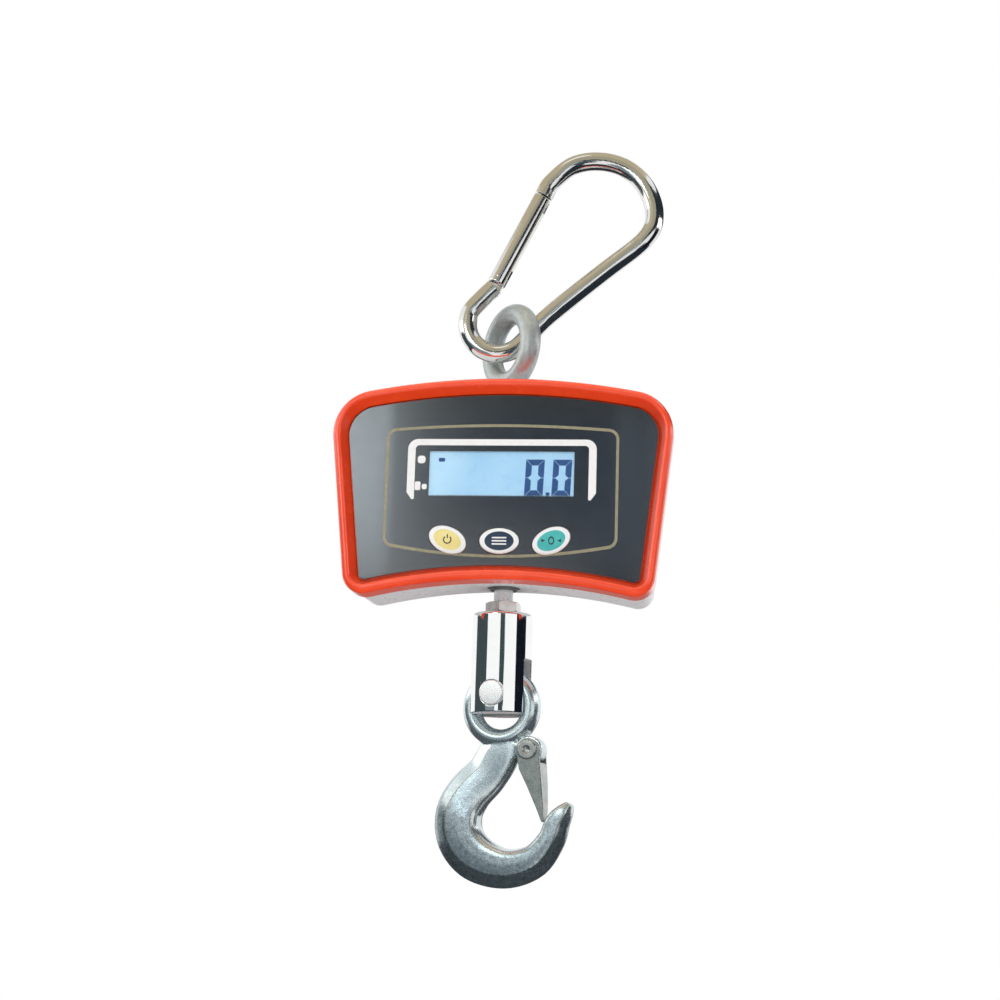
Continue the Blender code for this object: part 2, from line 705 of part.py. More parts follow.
add_object("lower_bush", *turned_ring(bush, ORIGIN, UP, 24), PIVOT_BODY, (DARK, 0.6, 0.0))

# Front bezel: rounded rim, sloped inner wall and a floor behind the panel
rim = [(WALL, FLOOR_BACK_Y), (WALL, SPLIT_Y), (0.0, SPLIT_Y)]
for k in range(4):
    a = k * math.pi / 6.0
    rim.append((RIM_CREST * (1.0 - math.cos(a)), FRONT_Y + RIM_ROUND * (1.0 - math.sin(a))))
rim += [(RIM_CREST + RIM_FLAT, FRONT_Y + RIM_FALL), (RIM_INSET, FLOOR_FRONT_Y)]
bezel = add_object("front_bezel", *shell(rim), PIVOT_BODY, ((0.80, 0.07, 0.02), 0.22, 0.0))
CASE_SPOTS = [(s * (SIDE_X - CASE_TOP_SIDE), TOP_Z - CASE_TOP_IN) for s in (-1, 1)]
CASE_SPOTS += [(s * (SIDE_X - CASE_LOW_SIDE), BOTTOM_Z + CASE_LOW_IN) for s in (-1, 1)]
BOARD_X = SIDE_X - CASE_LOW_SIDE - COLUMN_R - BOARD_SIDE
BOARD_Z0 = BOTTOM_Z + BOARD_LOW
BOARD_Z1 = TOP_Z - BOARD_TOP
POST_X = BOARD_X - POST_SIDE
BOARD_SPOTS = [(s * POST_X, z) for z in (BOARD_Z1 - POST_TOP, BOARD_Z0 + POST_LOW) for s in (-1, 1)]


def bars(radius, spots, y0, y1, steps):
    """Equal bars along y at several spots."""
    return [bar(radius, ACROSS * x + UP * z, FRONT_IN, y0, y1, steps) for x, z in spots]


post_end = SPLIT_Y + CASE_POST_L
posts = bars(CASE_POST_R, CASE_SPOTS, FLOOR_BACK_Y - SINK, post_end, 12)
posts += bars(POST_R, BOARD_SPOTS, FLOOR_BACK_Y - SINK, BOARD_FRONT_Y - GAP, 12)
boolean(bezel, "UNION", "bezel_posts", merge(*posts))
KEY_X = 2.0 * KEY_A + KEY_SPACE
KEY_Z = BOTTOM_Z + KEY_UP
KEYS = (("left", -KEY_X, KEY_Z, -KEY_TILT, (0.75, 0.62, 0.05)),
        ("middle", 0.0, KEY_Z - KEY_DROP, 0.0, (0.02, 0.03, 0.06)),
        ("right", KEY_X, KEY_Z, KEY_TILT, (0.02, 0.33, 0.32)))
CUT_FRONT_Y = FRONT_Y - PAST
CUT_BACK_Y = FLOOR_BACK_Y + PAST


def key_cut(grow):
    """Oval openings for the three keys."""
    cuts = []
    for side, x, z, tilt, paint in KEYS:
        ends = [oval(x, z, KEY_A + grow, KEY_B + grow, y, tilt) for y in (CUT_FRONT_Y, CUT_BACK_Y)]
        cuts.append(loft_data(ends))
    return cuts


def window_block(grow, y0, y1):
    """Box over the display window, larger by grow on each side."""
    x = WINDOW_W / 2.0 + grow
    z = WINDOW_H / 2.0 + grow
    return block(-x, x, y0, y1, WINDOW_Z - z, WINDOW_Z + z)


cuts = key_cut(PASS_GAP)
cuts.append(window_block(LCD_LAP + PASS_GAP, CUT_FRONT_Y, CUT_BACK_Y))
cuts += bars(CASE_SCREW_R + BORE_GAP, CASE_SPOTS, FLOOR_BACK_Y + GAP, post_end + PAST, 10)
board_tip = BOARD_BACK_Y + GAP - BOARD_SCREW_L
cuts += bars(BOARD_SCREW_R + BORE_GAP, BOARD_SPOTS, board_tip - GAP, BOARD_FRONT_Y + PAST, 10)
boolean(bezel, "DIFFERENCE", "bezel_cuts", merge(*cuts))

# Front panel with its window and key openings
panel_inset = RIM_INSET + PASS_GAP
panel_rows = [(panel_inset, PANEL_BACK_Y), (panel_inset, PANEL_FRONT_Y)]
panel = add_object("front_panel", *shell(panel_rows), PIVOT_BODY, ((0.06, 0.07, 0.10), 0.4, 0.0))
cuts = key_cut(GAP)
cuts.append(window_block(0.0, CUT_FRONT_Y, CUT_BACK_Y))
boolean(panel, "DIFFERENCE", "panel_cuts", merge(*cuts))
lens_y = PANEL_FRONT_Y + LENS_SUNK
add_object("display_window", *window_block(-GAP, lens_y, lens_y + LENS_T), PIVOT_BODY,
           ((0.55, 0.75, 0.90), 0.1, 0.0))
add_object("lcd_module", *window_block(LCD_LAP, lens_y + LENS_T + GAP, BOARD_FRONT_Y - GAP), PIVOT_BODY,
           ((0.45, 0.68, 0.88), 0.3, 0.0))

# Keys with a holding flange and a stem, and the switch behind each
flange_y = FLOOR_BACK_Y + GAP
stem_y = flange_y + FLANGE_T
stem_end = stem_y + STEM_L
key_front = PANEL_FRONT_Y - KEY_PROUD
plunger_y = stem_end + KEY_TRAVEL + GAP
switch_y = plunger_y + PLUNGER_L
for side, x, z, tilt, paint in KEYS:
    loops = [oval(x, z, STEM_R, STEM_R, y, tilt) for y in (stem_end, stem_y)]
    loops += [oval(x, z, KEY_A + FLANGE_W, KEY_B + FLANGE_W, y, tilt) for y in (stem_y, flange_y)]
    for shrink, y in ((0.0, flange_y), (0.0, key_front + KEY_ROUND), (KEY_EDGE, key_front + KEY_ROUND / 4.0),
                      (KEY_CROWN, key_front)):
        loops.append(oval(x, z, KEY_A - shrink, KEY_B - shrink, y, tilt))
    add_object("key_" + side, *loft_data(loops), Vector((x, PANEL_FRONT_Y, z)), (paint, 0.35, 0.0))
    loops = [oval(x, z, PLUNGER_R, PLUNGER_R, y, 0.0, 12) for y in (plunger_y, switch_y)]
    loops += [oval(x, z, SWITCH_HALF, SWITCH_HALF, y, 0.0, 12, 8.0) for y in (switch_y, BOARD_FRONT_Y - GAP)]
    add_object("switch_" + side, *loft_data(loops), PIVOT_BODY, (DARK, 0.5, 0.0))

# Circuit board and its four screws
board = add_object("circuit_board", *block(-BOARD_X, BOARD_X, BOARD_FRONT_Y, BOARD_BACK_Y, BOARD_Z0, BOARD_Z1),
                   PIVOT_BODY, ((0.02, 0.20, 0.06), 0.4, 0.0))
boolean(board, "DIFFERENCE", "board_holes",
        merge(*bars(BOARD_SCREW_R + PASS_GAP, BOARD_SPOTS, BOARD_FRONT_Y - PAST, BOARD_BACK_Y + PAST, 10)))


def headed_screw(radius, tip, seat, head_r, head_h):
    """Screw profile from the tip to a socket head that sits at seat."""
    top = seat + head_h
    rows = [(radius, tip), (radius, seat), (head_r, seat), (head_r, top - SCREW_EDGE)]
    return rows + [(head_r - SCREW_EDGE, top), (SOCKET_R, top), (SOCKET_R, top - SOCKET_DEEP)]


screw = headed_screw(BOARD_SCREW_R, board_tip, BOARD_BACK_Y + GAP, BOARD_HEAD_R, BOARD_HEAD_H)
for number, (x, z) in enumerate(BOARD_SPOTS, 1):
    add_object("pcb_screw_%d" % number, *turned_solid(screw, ACROSS * x + UP * z, FRONT_IN, 10), PIVOT_BODY,
               (STEEL, 0.3, 1.0))

# Rear housing: tray with screw columns, load bosses and a battery bay
rear_in = REAR_STEP + REAR_DRAFT
tray = [(rear_in + REAR_WALL + INNER_ROUND, BACK_Y - BACK_THICK), (rear_in + REAR_WALL, BACK_Y - REAR_BREAK)]
tray += [(WALL + GAP + LIP_T, LIP_Y), (WALL + GAP, LIP_Y), (WALL + GAP, SPLIT_Y + GAP)]
tray += [(REAR_STEP, SPLIT_Y + GAP), (rear_in, BACK_Y - REAR_BREAK)]
for k in (1, 2, 3):
    a = k * math.pi / 6.0
    tray.append((rear_in + BACK_ROUND * (1.0 - math.cos(a)), BACK_Y - BACK_EDGE * (1.0 - math.sin(a))))
rear = add_object("rear_housing", *shell(tray), PIVOT_BODY, ((0.72, 0.73, 0.74), 0.2, 0.0))
adds = bars(COLUMN_R, CASE_SPOTS, post_end + GAP, BACK_Y - BACK_THICK / 2.0, 14)
boss_r = SLEEVE_R + GAP + BOSS_WALL
adds.append(bar(boss_r, ORIGIN, UP, BOSS_UNDER_Z, BOSS_TOP_Z, 28))
adds.append(bar(boss_r, ORIGIN, UP, BOSS_LOW_Z, BOSS_OVER_Z, 28))
cell_pitch = CELL_D + CELL_SPACE
bay_x = CELL_L / 2.0 + BAY_END
bay_z = cell_pitch + CELL_D / 2.0 + BAY_SIDE
door_x = bay_x + DOOR_LIP_X
door_z = bay_z + DOOR_LIP_Z


def bay_block(x, z, y0, y1):
    """Box on the middle of the battery bay."""
    return block(-x, x, y0, y1, LOAD_MID_Z - z, LOAD_MID_Z + z)


adds.append(bay_block(door_x + GAP + BAY_RIM, door_z + GAP + BAY_RIM, BAY_FRONT_Y, BACK_Y - BACK_THICK / 2.0))
boolean(rear, "UNION", "rear_adds", merge(*adds))
pocket = []
for x, z, y in ((door_x + GAP, door_z + GAP, BACK_Y + PAST), (door_x + GAP, door_z + GAP, SEAT_Y),
                (bay_x, bay_z, SEAT_Y), (bay_x, bay_z, BAY_FLOOR_Y)):
    z0 = LOAD_MID_Z - z
    z1 = LOAD_MID_Z + z
    pocket.append([(-x, y, z0), (x, y, z0), (x, y, z1), (-x, y, z1)])
cuts = [loft_data(pocket)]
cuts.append(bar(SLEEVE_R + GAP, ORIGIN, UP, BOSS_UNDER_Z - PAST, BOSS_TOP_Z + PAST, 24))
cuts.append(bar(SLEEVE_R + GAP, ORIGIN, UP, BOSS_LOW_Z - PAST, BOSS_OVER_Z + PAST, 24))
case_seat = BACK_Y - CASE_SINK
drill = [(CASE_SCREW_R + PASS_GAP, SPLIT_Y - PAST), (CASE_SCREW_R + PASS_GAP, case_seat)]
drill += [(CASE_HEAD_R + PASS_GAP, case_seat), (CASE_HEAD_R + PASS_GAP, BACK_Y + PAST)]
cuts += [turned_solid(drill, ACROSS * x + UP * z, FRONT_IN, 14) for x, z in CASE_SPOTS]
boolean(rear, "DIFFERENCE", "rear_cuts", merge(*cuts))
screw = headed_screw(CASE_SCREW_R, FLOOR_BACK_Y + CASE_TIP_IN, case_seat + GAP, CASE_HEAD_R, CASE_HEAD_H)
for number, (x, z) in enumerate(CASE_SPOTS, 1):
    add_object("case_screw_%d" % number, *turned_solid(screw, ACROSS * x + UP * z, FRONT_IN, 12), PIVOT_BODY,
               (STEEL, 0.3, 1.0))

# Battery door, cells and contacts
door = add_object("battery_door", *bay_block(door_x, door_z, BACK_Y - DOOR_THICK, BACK_Y),
                  FRONT_IN * BACK_Y + UP * LOAD_MID_Z, ((0.70, 0.71, 0.72), 0.3, 0.0))
grips = []
for k in range(3):
    z0 = LOAD_MID_Z + door_z - GRIP_IN + GRIP_PITCH * k
    grips.append(block(-GRIP_HALF, GRIP_HALF, BACK_Y - GRIP_DEEP, BACK_Y + PAST, z0, z0 + GRIP_W))
boolean(door, "DIFFERENCE", "door_grips", merge(*grips))
can = CELL_D / 2.0
half_l = CELL_L / 2.0
brim = half_l - NUB_L
profile = [(can - CELL_EDGE, -half_l), (can, CELL_EDGE - half_l), (can, brim - CELL_EDGE)]
profile += [(can - CELL_EDGE, brim), (NUB_R, brim), (NUB_R, half_l)]
for number in (1, 2, 3):
    way = -1.0 if number == 2 else 1.0
    at = Vector((0.0, BAY_FLOOR_Y + GAP + can, LOAD_MID_Z + cell_pitch * (2 - number)))
    add_object("battery_%d" % number, *turned_solid(profile, at, ACROSS * way, 14), PIVOT_BODY,
               ((0.05, 0.09, 0.12), 0.3, 0.3))
contact_z = bay_z - CONTACT_IN
for side, x0 in (("left", GAP - bay_x), ("right", bay_x - GAP - CONTACT_T)):
    add_object("contact_" + side,
               *block(x0, x0 + CONTACT_T, BAY_FLOOR_Y + GAP, SEAT_Y - CONTACT_IN, LOAD_MID_Z - contact_z,
                      LOAD_MID_Z + contact_z), PIVOT_BODY, ((0.75, 0.72, 0.62), 0.3, 1.0))

# Load cell with two cuts, a cover over its gauges, and the stud below
near = LOAD_MID_Z + BEAM_CUT_Z
far = near + BEAM_CUT_W
low_near = LOAD_MID_Z - BEAM_CUT_Z
low_far = low_near - BEAM_CUT_W
stop = BEAM_HALF_X - BEAM_REST
beam = [(-BEAM_HALF_X, LOAD_LOW_Z), (BEAM_HALF_X, LOAD_LOW_Z), (BEAM_HALF_X, low_far)]
beam += [(-stop, low_far), (-stop, low_near), (BEAM_HALF_X, low_near)]
beam += [(BEAM_HALF_X, LOAD_TOP_Z), (-BEAM_HALF_X, LOAD_TOP_Z), (-BEAM_HALF_X, far)]
beam += [(stop, far), (stop, near), (-BEAM_HALF_X, near)]
cell = add_object("load_cell", *flat_piece(beam, ACROSS, FRONT_IN, BEAM_FRONT_Y, BEAM_BACK_Y), PIVOT_BODY,
                  ((0.70, 0.71, 0.72), 0.35, 1.0))
tap_l = ROD_IN + TAP_PAST
taps = merge(bar(ROD_R + ROD_GAP, ORIGIN, UP, LOAD_TOP_Z - tap_l, LOAD_TOP_Z + PAST, 16),
             bar(ROD_R + ROD_GAP, ORIGIN, UP, LOAD_LOW_Z - PAST, LOAD_LOW_Z + tap_l, 16))
boolean(cell, "DIFFERENCE", "cell_taps", taps)
gauge_y = BEAM_FRONT_Y - GAP
add_object("gauge_cover", *block(-GAUGE_X, GAUGE_X, gauge_y - GAUGE_T, gauge_y, LOAD_MID_Z - GAUGE_Z,
                                 LOAD_MID_Z + GAUGE_Z), PIVOT_BODY, ((0.8, 0.8, 0.78), 0.6, 0.0))
stud = [(ROD_R, LOAD_LOW_Z + ROD_IN), (ROD_R, STUD_END_Z + STUD_EDGE), (ROD_R - STUD_EDGE, STUD_END_Z)]
add_object("load_stud", *turned_solid(stud, ORIGIN, UP, 20), PIVOT_BODY, (STEEL, 0.25, 1.0))
six_sided("swivel_nut", STUD_END_Z, SWIVEL_TOP_Z)

# Clevis: turned barrel, stud bore, slot for the hook eye and spot faced pin bores
barrel = [(CLEVIS_R - CLEVIS_EDGE, CLEVIS_LOW_Z), (CLEVIS_R, CLEVIS_LOW_Z + CLEVIS_EDGE)]
for k in range(3):
    a = k * math.pi / 4.0
    radius = CLEVIS_R - CLEVIS_ROUND * (1.0 - math.cos(a))
    barrel.append((radius, CLEVIS_TOP_Z - CLEVIS_ROUND * (1.0 - math.sin(a))))
clevis = add_object("clevis", *turned_solid(barrel, ORIGIN, UP, 40), PIVOT_CLEVIS,
                    ((0.72, 0.73, 0.74), 0.08, 1.0))
pocket_r = NUT_CORNER + POCKET_GAP
roof_z = CLEVIS_TOP_Z - CLEVIS_ROOF
bore = [(ROD_R + PASS_GAP, CLEVIS_TOP_Z + PAST), (ROD_R + PASS_GAP, roof_z), (pocket_r, roof_z)]
bore += [(pocket_r, SLOT_TOP_Z - SINK)]
boolean(clevis, "DIFFERENCE", "clevis_bore", turned_solid(bore, ORIGIN, UP, 24))
wide = CLEVIS_R + PAST
slot = [(-wide, CLEVIS_LOW_Z - PAST), (wide, CLEVIS_LOW_Z - PAST), (wide, SLOT_TOP_Z), (-wide, SLOT_TOP_Z)]
slot_half = HOOK_EYE_T / 2.0 + PASS_GAP
boolean(clevis, "DIFFERENCE", "clevis_slot", flat_piece(slot, HOOK_X, PIN_AXIS, -slot_half, slot_half))
face = CLEVIS_R - SPOT_IN
spot_r = HEAD_R + PASS_GAP
clip_r = PIN_R + CLIP_OUT + PASS_GAP
bores = [(clip_r, -wide), (clip_r, -face), (PIN_R + BORE_GAP, -face)]
bores += [(PIN_R + BORE_GAP, face), (spot_r, face), (spot_r, wide)]
boolean(clevis, "DIFFERENCE", "clevis_pin_bore", turned_solid(bores, PIVOT_HOOK, PIN_AXIS, 24))
washer_r = pocket_r - WASHER_IN
washer = [(ROD_R + PASS_GAP, WASHER_Z - WASHER_T), (washer_r, WASHER_Z - WASHER_T), (washer_r, WASHER_Z)]
washer += [(ROD_R + PASS_GAP, WASHER_Z)]
add_object("thrust_washer", *turned_ring(washer, ORIGIN, UP, 20), PIVOT_CLEVIS,
           ((0.55, 0.45, 0.25), 0.35, 1.0))
groove_r = PIN_R - GROOVE_IN
groove = face + GAP
clip_y = groove + GAP
groove_end = clip_y + CLIP_T + GAP
tail = face + PIN_OUT
headed = [(PIN_R - PIN_EDGE, -tail), (PIN_R, PIN_EDGE / 2.0 - tail), (PIN_R, -groove_end)]
headed += [(groove_r, -groove_end), (groove_r, -groove), (PIN_R, -groove), (PIN_R, groove), (HEAD_R, groove)]
headed += [(HEAD_R, groove + HEAD_T - HEAD_EDGE), (HEAD_R - HEAD_EDGE, groove + HEAD_T)]
add_object("clevis_pin", *turned_solid(headed, PIVOT_HOOK, PIN_AXIS, 20), PIVOT_CLEVIS,
           ((0.70, 0.70, 0.68), 0.3, 1.0))
loops = []
for i in range(17):
    a = math.radians(-60.0 + 300.0 * i / 16.0)
    spoke = HOOK_X * math.cos(a) + UP * math.sin(a)
    loops.append([PIVOT_HOOK + spoke * (PIN_R + r) - PIN_AXIS * (clip_y + t)
                  for r, t in ((-CLIP_IN, CLIP_T), (CLIP_OUT, CLIP_T), (CLIP_OUT, 0.0), (-CLIP_IN, 0.0))])
add_object("pin_clip", *loft_data(loops), PIVOT_CLEVIS, ((0.25, 0.25, 0.26), 0.4, 1.0))

# Load hook: forged eye, lug for the latch and a bowl that tapers to the tip
ring = [(HOOK_EYE_R + HOOK_EYE_WIRE * math.cos(a), HOOK_EYE_T / 2.0 * math.sin(a))
        for a in [2.0 * math.pi * (k + 0.5) / 12 for k in range(12)]]
HOOK_EYE_AT = HOOK_X * HOOK_EYE_SIDE + UP * HOOK_EYE_Z
hook = add_object("hook", *turned_ring(ring, HOOK_EYE_AT, PIN_AXIS, 32), PIVOT_HOOK,
                  ((0.50, 0.51, 0.50), 0.35, 1.0))
spine = [(u, v, w, LUG_T + NECK_OVER) for u, v, w in NECK_LINE]
spine += [(u, v, w, t) for (u, v, w), t in zip(BOWL_LINE, BOWL_THICK)]
rows = smooth([(HOOK_EYE_SIDE + u, HOOK_NECK_Z + v, w / 2.0, t / 2.0) for u, v, w, t in spine], 3)
boolean(hook, "UNION", "hook_bowl", loft_data(swept(rows, HOOK_X, PIN_AXIS, 16, 2.6)))
boolean(hook, "UNION", "hook_lug", bar(LUG_R, PIVOT_LATCH, PIN_AXIS, -LUG_T / 2.0, LUG_T / 2.0, 24))
neck_u = HOOK_EYE_SIDE + NECK_LINE[1][0]
web = [(neck_u, LATCH_V - LUG_WEB), (LATCH_U, LATCH_V - LUG_WEB), (LATCH_U, LATCH_V + LUG_WEB)]
web += [(neck_u, LATCH_V + LUG_WEB)]
half_web = LUG_T / 2.0 - LATCH_GAP
boolean(hook, "UNION", "hook_lug_web", flat_piece(web, HOOK_X, PIN_AXIS, -half_web, half_web))
half_in = LUG_T / 2.0 + LATCH_GAP
half_out = half_in + LATCH_SHEET
rivet_bore = bar(RIVET_R + BORE_GAP, PIVOT_LATCH, PIN_AXIS, -half_out - PAST, half_out + PAST, 16)
boolean(hook, "DIFFERENCE", "hook_lug_bore", rivet_bore)

# Safety latch: folded sheet with two cheeks over the lug
plate = arc(LATCH_U, LATCH_V, LUG_R - CHEEK_IN, 0.0, CHEEK_TO, 10)
plate += [(HOOK_EYE_SIDE + u, HOOK_NECK_Z + v) for u, v in LATCH_FRONT + LATCH_BACK]
latch = add_object("safety_latch", *flat_piece(plate, HOOK_X, PIN_AXIS, -half_out, half_out), PIVOT_LATCH,
                   ((0.60, 0.61, 0.60), 0.3, 1.0))
clear = LATCH_WEB_LOW
web_low = HOOK_NECK_Z - LATCH_WEB_LOW
web_top = LATCH_V - LATCH_WEB_TOP
hollow = [(LATCH_U + clear, LATCH_V + clear), (LATCH_U - clear, LATCH_V + clear), (LATCH_U - clear, web_low)]
hollow += [(HOOK_EYE_SIDE + u - LATCH_SHEET, v) for u, v in ((LATCH_BACK[0][0], web_low),
                                                             (LATCH_BACK[1][0], HOOK_NECK_Z + LATCH_BACK[1][1]))]
hollow += [(LATCH_U + LUG_R - CHEEK_IN - LATCH_SHEET, web_top), (LATCH_U + clear, web_top)]
boolean(latch, "DIFFERENCE", "latch_hollow", flat_piece(hollow, HOOK_X, PIN_AXIS, -half_in, half_in))
boolean(latch, "DIFFERENCE", "latch_bore", rivet_bore)
end = half_out + GAP
top = end + RIVET_HEAD_H
rivet = [(RIVET_HEAD_R - 2.0 * RIVET_EDGE, -top), (RIVET_HEAD_R, RIVET_EDGE - top), (RIVET_HEAD_R, -end)]
rivet += [(RIVET_R, -end), (RIVET_R, end), (RIVET_HEAD_R, end), (RIVET_HEAD_R, top - RIVET_EDGE)]
rivet += [(RIVET_HEAD_R - 2.0 * RIVET_EDGE, top)]
add_object("latch_rivet", *turned_solid(rivet, PIVOT_LATCH, PIN_AXIS, 18), PIVOT_HOOK, (STEEL, 0.3, 1.0))
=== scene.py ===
# Looks of the hanging digital scale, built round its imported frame
import math
import bmesh
import bpy
from mathutils import Matrix, Vector


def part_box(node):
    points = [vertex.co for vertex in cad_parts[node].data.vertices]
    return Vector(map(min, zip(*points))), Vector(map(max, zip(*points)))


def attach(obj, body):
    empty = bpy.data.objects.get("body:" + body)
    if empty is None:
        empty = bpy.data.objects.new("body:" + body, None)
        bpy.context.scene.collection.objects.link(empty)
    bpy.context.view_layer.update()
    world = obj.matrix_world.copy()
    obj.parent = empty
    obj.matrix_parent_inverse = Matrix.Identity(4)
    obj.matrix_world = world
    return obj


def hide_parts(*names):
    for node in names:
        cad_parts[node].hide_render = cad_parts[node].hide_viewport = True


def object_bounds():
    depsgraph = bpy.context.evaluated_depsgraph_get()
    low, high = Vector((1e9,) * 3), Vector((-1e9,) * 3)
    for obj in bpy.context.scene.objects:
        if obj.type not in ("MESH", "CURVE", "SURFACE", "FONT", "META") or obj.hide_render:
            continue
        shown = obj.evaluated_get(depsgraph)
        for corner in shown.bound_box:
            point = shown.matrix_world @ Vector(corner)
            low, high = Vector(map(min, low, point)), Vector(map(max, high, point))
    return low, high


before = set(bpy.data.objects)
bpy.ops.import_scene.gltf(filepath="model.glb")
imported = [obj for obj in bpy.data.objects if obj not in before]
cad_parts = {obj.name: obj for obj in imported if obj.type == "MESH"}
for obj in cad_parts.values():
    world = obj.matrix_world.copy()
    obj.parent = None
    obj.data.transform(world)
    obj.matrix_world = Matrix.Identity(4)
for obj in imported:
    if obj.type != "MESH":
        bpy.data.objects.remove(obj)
CAD_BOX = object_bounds()

# Working millimetres: the load axis is x 0 and y 0, the housing's middle is z 0, the front faces minus y
MM = 0.001
cell_low, cell_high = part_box("load_cell")
HOME = Vector(((cell_low.x + cell_high.x) / 2.0, 0.0, (cell_low.z + cell_high.z) / 2.0))
TO_FRAME = Matrix.Translation(HOME) @ Matrix.Scale(MM, 4)
ACROSS = Vector((1.0, 0.0, 0.0))
DEEP = Vector((0.0, 1.0, 0.0))
UP = Vector((0.0, 0.0, 1.0))
ZERO = Vector((0.0, 0.0, 0.0))

# How far cutting bodies run past the cut, where points merge, and how fine fused bodies are
PAST = 2.0
MERGE = 1e-4
VOXEL = 0.36


def reach(node):
    """Lowest and highest corner of a frame node in working millimetres."""
    low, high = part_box(node)
    return (low - HOME) / MM, (high - HOME) / MM


# Depths read from the frame
FRONT_Y = reach("front_bezel")[0].y
PANEL_Y, PANEL_BACK_Y = [corner.y for corner in reach("front_panel")]
LENS_Y, LENS_BACK_Y = [corner.y for corner in reach("display_window")]
LCD_Y = reach("lcd_module")[0].y
LIP_Y, BACK_Y = [corner.y for corner in reach("rear_housing")]
KEY_Y = reach("key_middle")[0].y
CELL_BACK_Y = reach("battery_1")[1].y

# Housing outline
SIDE_X = 69.2
SIDE_Z = 15.5
SIDE_LEAN = math.radians(6.4)
TOP_Z = 41.6
TOP_RADIUS = 290.0
BOTTOM_Z = -41.4
BOTTOM_RADIUS = 230.0
TOP_CORNER = 18.0
BOTTOM_CORNER = 8.5

# Bezel and rear housing walls
WALL = 2.2
CREST = 2.3
CREST_DROP = 3.4
RIM_INNER = 1.35
RIM_INNER_DROP = 1.5675
RIM_INSET = 5.9
PANEL_INSET = 6.3
FLOOR_Y = -21.2
FLOOR_BACK_Y = -19.2
SPLIT_Y = -15.0
SPLIT_GAP = 0.3
SPLIT_EDGE = 0.3
REAR_STEP = 0.8
REAR_IN = 2.0
REAR_BREAK_Y = 17.0
BACK_ROUND = 3.2
BACK_DROP = 4.4
REAR_WALL = 2.6
BACK_THICK = 2.4
BOSS_R = 11.0
SEAL_R = 6.4
STUD_HOLE_R = 4.35

# Keys as side, middle across and up, and tilt in degrees; the display window
KEYS = (("left", -21.0, -25.0, -24.0), ("middle", 0.0, -25.3, 0.0), ("right", 21.0, -25.0, 24.0))
KEY_HALF = (8.0, 5.25)
WINDOW = (-29.5, 29.5, -6.75, 11.75)

# Prints on the panel: gold outline, with heights at its middle and sides, and white bracket
PRINT_T = 0.06
GOLD_HALF = 47.5
GOLD_TOP = (23.1, 21.0)
GOLD_LOW = (-32.1, -27.4)
GOLD_CORNER = 4.4
GOLD_LINE = 1.15
BRACKET_HALF = 38.5
BRACKET_TOP = 16.8
BRACKET_FOOT = -7.6
BRACKET_LEG = 3.1
BRACKET_BAR = 2.6
BRACKET_CORNER = 4.2
BRACKET_INNER = 1.6

# Figures on the display
DIGIT_SIZE = (7.6, 15.2)
DIGIT_Z = -6.5
DIGIT_LEAN = 0.04
STROKE = 2.45
STROKE_GAP = 0.1

# Battery bay, its door and the case screws
CASE_SPOTS = ((-56.0, 24.0), (56.0, 24.0), (-51.0, -34.0), (51.0, -34.0))
SCREW_DEPTH = 4.0
DOOR_X = 30.0
DOOR_Z = 22.0
DOOR_WALL = 2.5
DOOR_GAP = 0.3
SEAT_Y = 20.7056
BAY_Y = 9.8056
BAY_FLOOR_Y = 8.0056
BAY_X = 23.75
BAY_Z = 18.0
CELL_R = 5.2
CELL_HALF = 22.25
CELL_PITCH = 12.0

# Snap hook
BAR_R = 4.0
BAR_LINE = [(11.854, 129.602), (15.004, 135.402), (24.204, 143.402), (35.404, 145.302), (46.504, 142.202),
            (55.204, 134.002), (59.504, 121.502), (55.804, 110.202), (39.5, 96.402), (26.7, 85.802),
            (14.2, 74.902)]
BAR_END = [(-12.0, 84.901), (-8.004, 88.886)]
BEND_AT = (-5.6, 72.8)
BEND_R = 13.3
GATE_AT = Vector((-5.9, 0.0, 93.2))
GATE_LEAN = math.radians(26.0)
GATE_L = 39.9
GATE_DIR = Vector((math.sin(GATE_LEAN), 0.0, math.cos(GATE_LEAN)))
GATE_IN = Vector((math.cos(GATE_LEAN), 0.0, -math.sin(GATE_LEAN)))
TONGUE_R = 3.3
TONGUE_HALF = 1.3
SLOT_HALF = 1.6

# Eye bolt
EYE_TURN = math.radians(51.0)
EYE_Z = 62.0
EYE_R = 14.5
EYE_WIRE = 4.4

# Load stud and its nut
STUD_R = 3.95
THREAD_ROOT = 3.55
THREAD_PITCH = 1.25
THREAD_LOW_Z = -69.3
THREAD_TOP_Z = -48.5
NUT_LOW_Z = -51.2
NUT_TOP_Z = -47.0
NUT_CORNER = 7.5
NUT_CHAMFER = 0.6
NUT_TURN = -0.13

# Clevis and hook
CLEVIS_TURN = math.radians(12.0)
PIN_AXIS = Vector((-math.sin(CLEVIS_TURN), -math.cos(CLEVIS_TURN), 0.0))
HOOK_X = Vector((math.cos(CLEVIS_TURN), -math.sin(CLEVIS_TURN), 0.0))
PIN_Z = -85.0
FORK_HALF = 5.2
HOOK_EYE = (0.8, -89.9)
HOOK_NECK_Z = -102.45
LATCH = (13.7, -107.2)

# Spine of the hook, from its neck: across, up, width and thickness
HOOK_SPINE = ((1.2, 0.65, 9.0, 8.2), (-0.2, -5.05, 17.0, 8.2), (-5.4, -14.05, 17.6, 8.2),
              (-12.6, -21.55, 18.6, 10.0), (-17.0, -30.05, 19.4, 12.4), (-16.0, -39.85, 19.4, 13.4),
              (-8.8, -47.85, 18.6, 13.6), (3.5, -51.55, 15.8, 13.4), (15.2, -48.55, 13.4, 12.6),
              (22.2, -40.55, 11.0, 11.4), (24.8, -33.55, 10.0, 10.2), (27.8, -28.75, 7.0, 9.0),
              (29.8, -25.75, 3.4, 6.5))

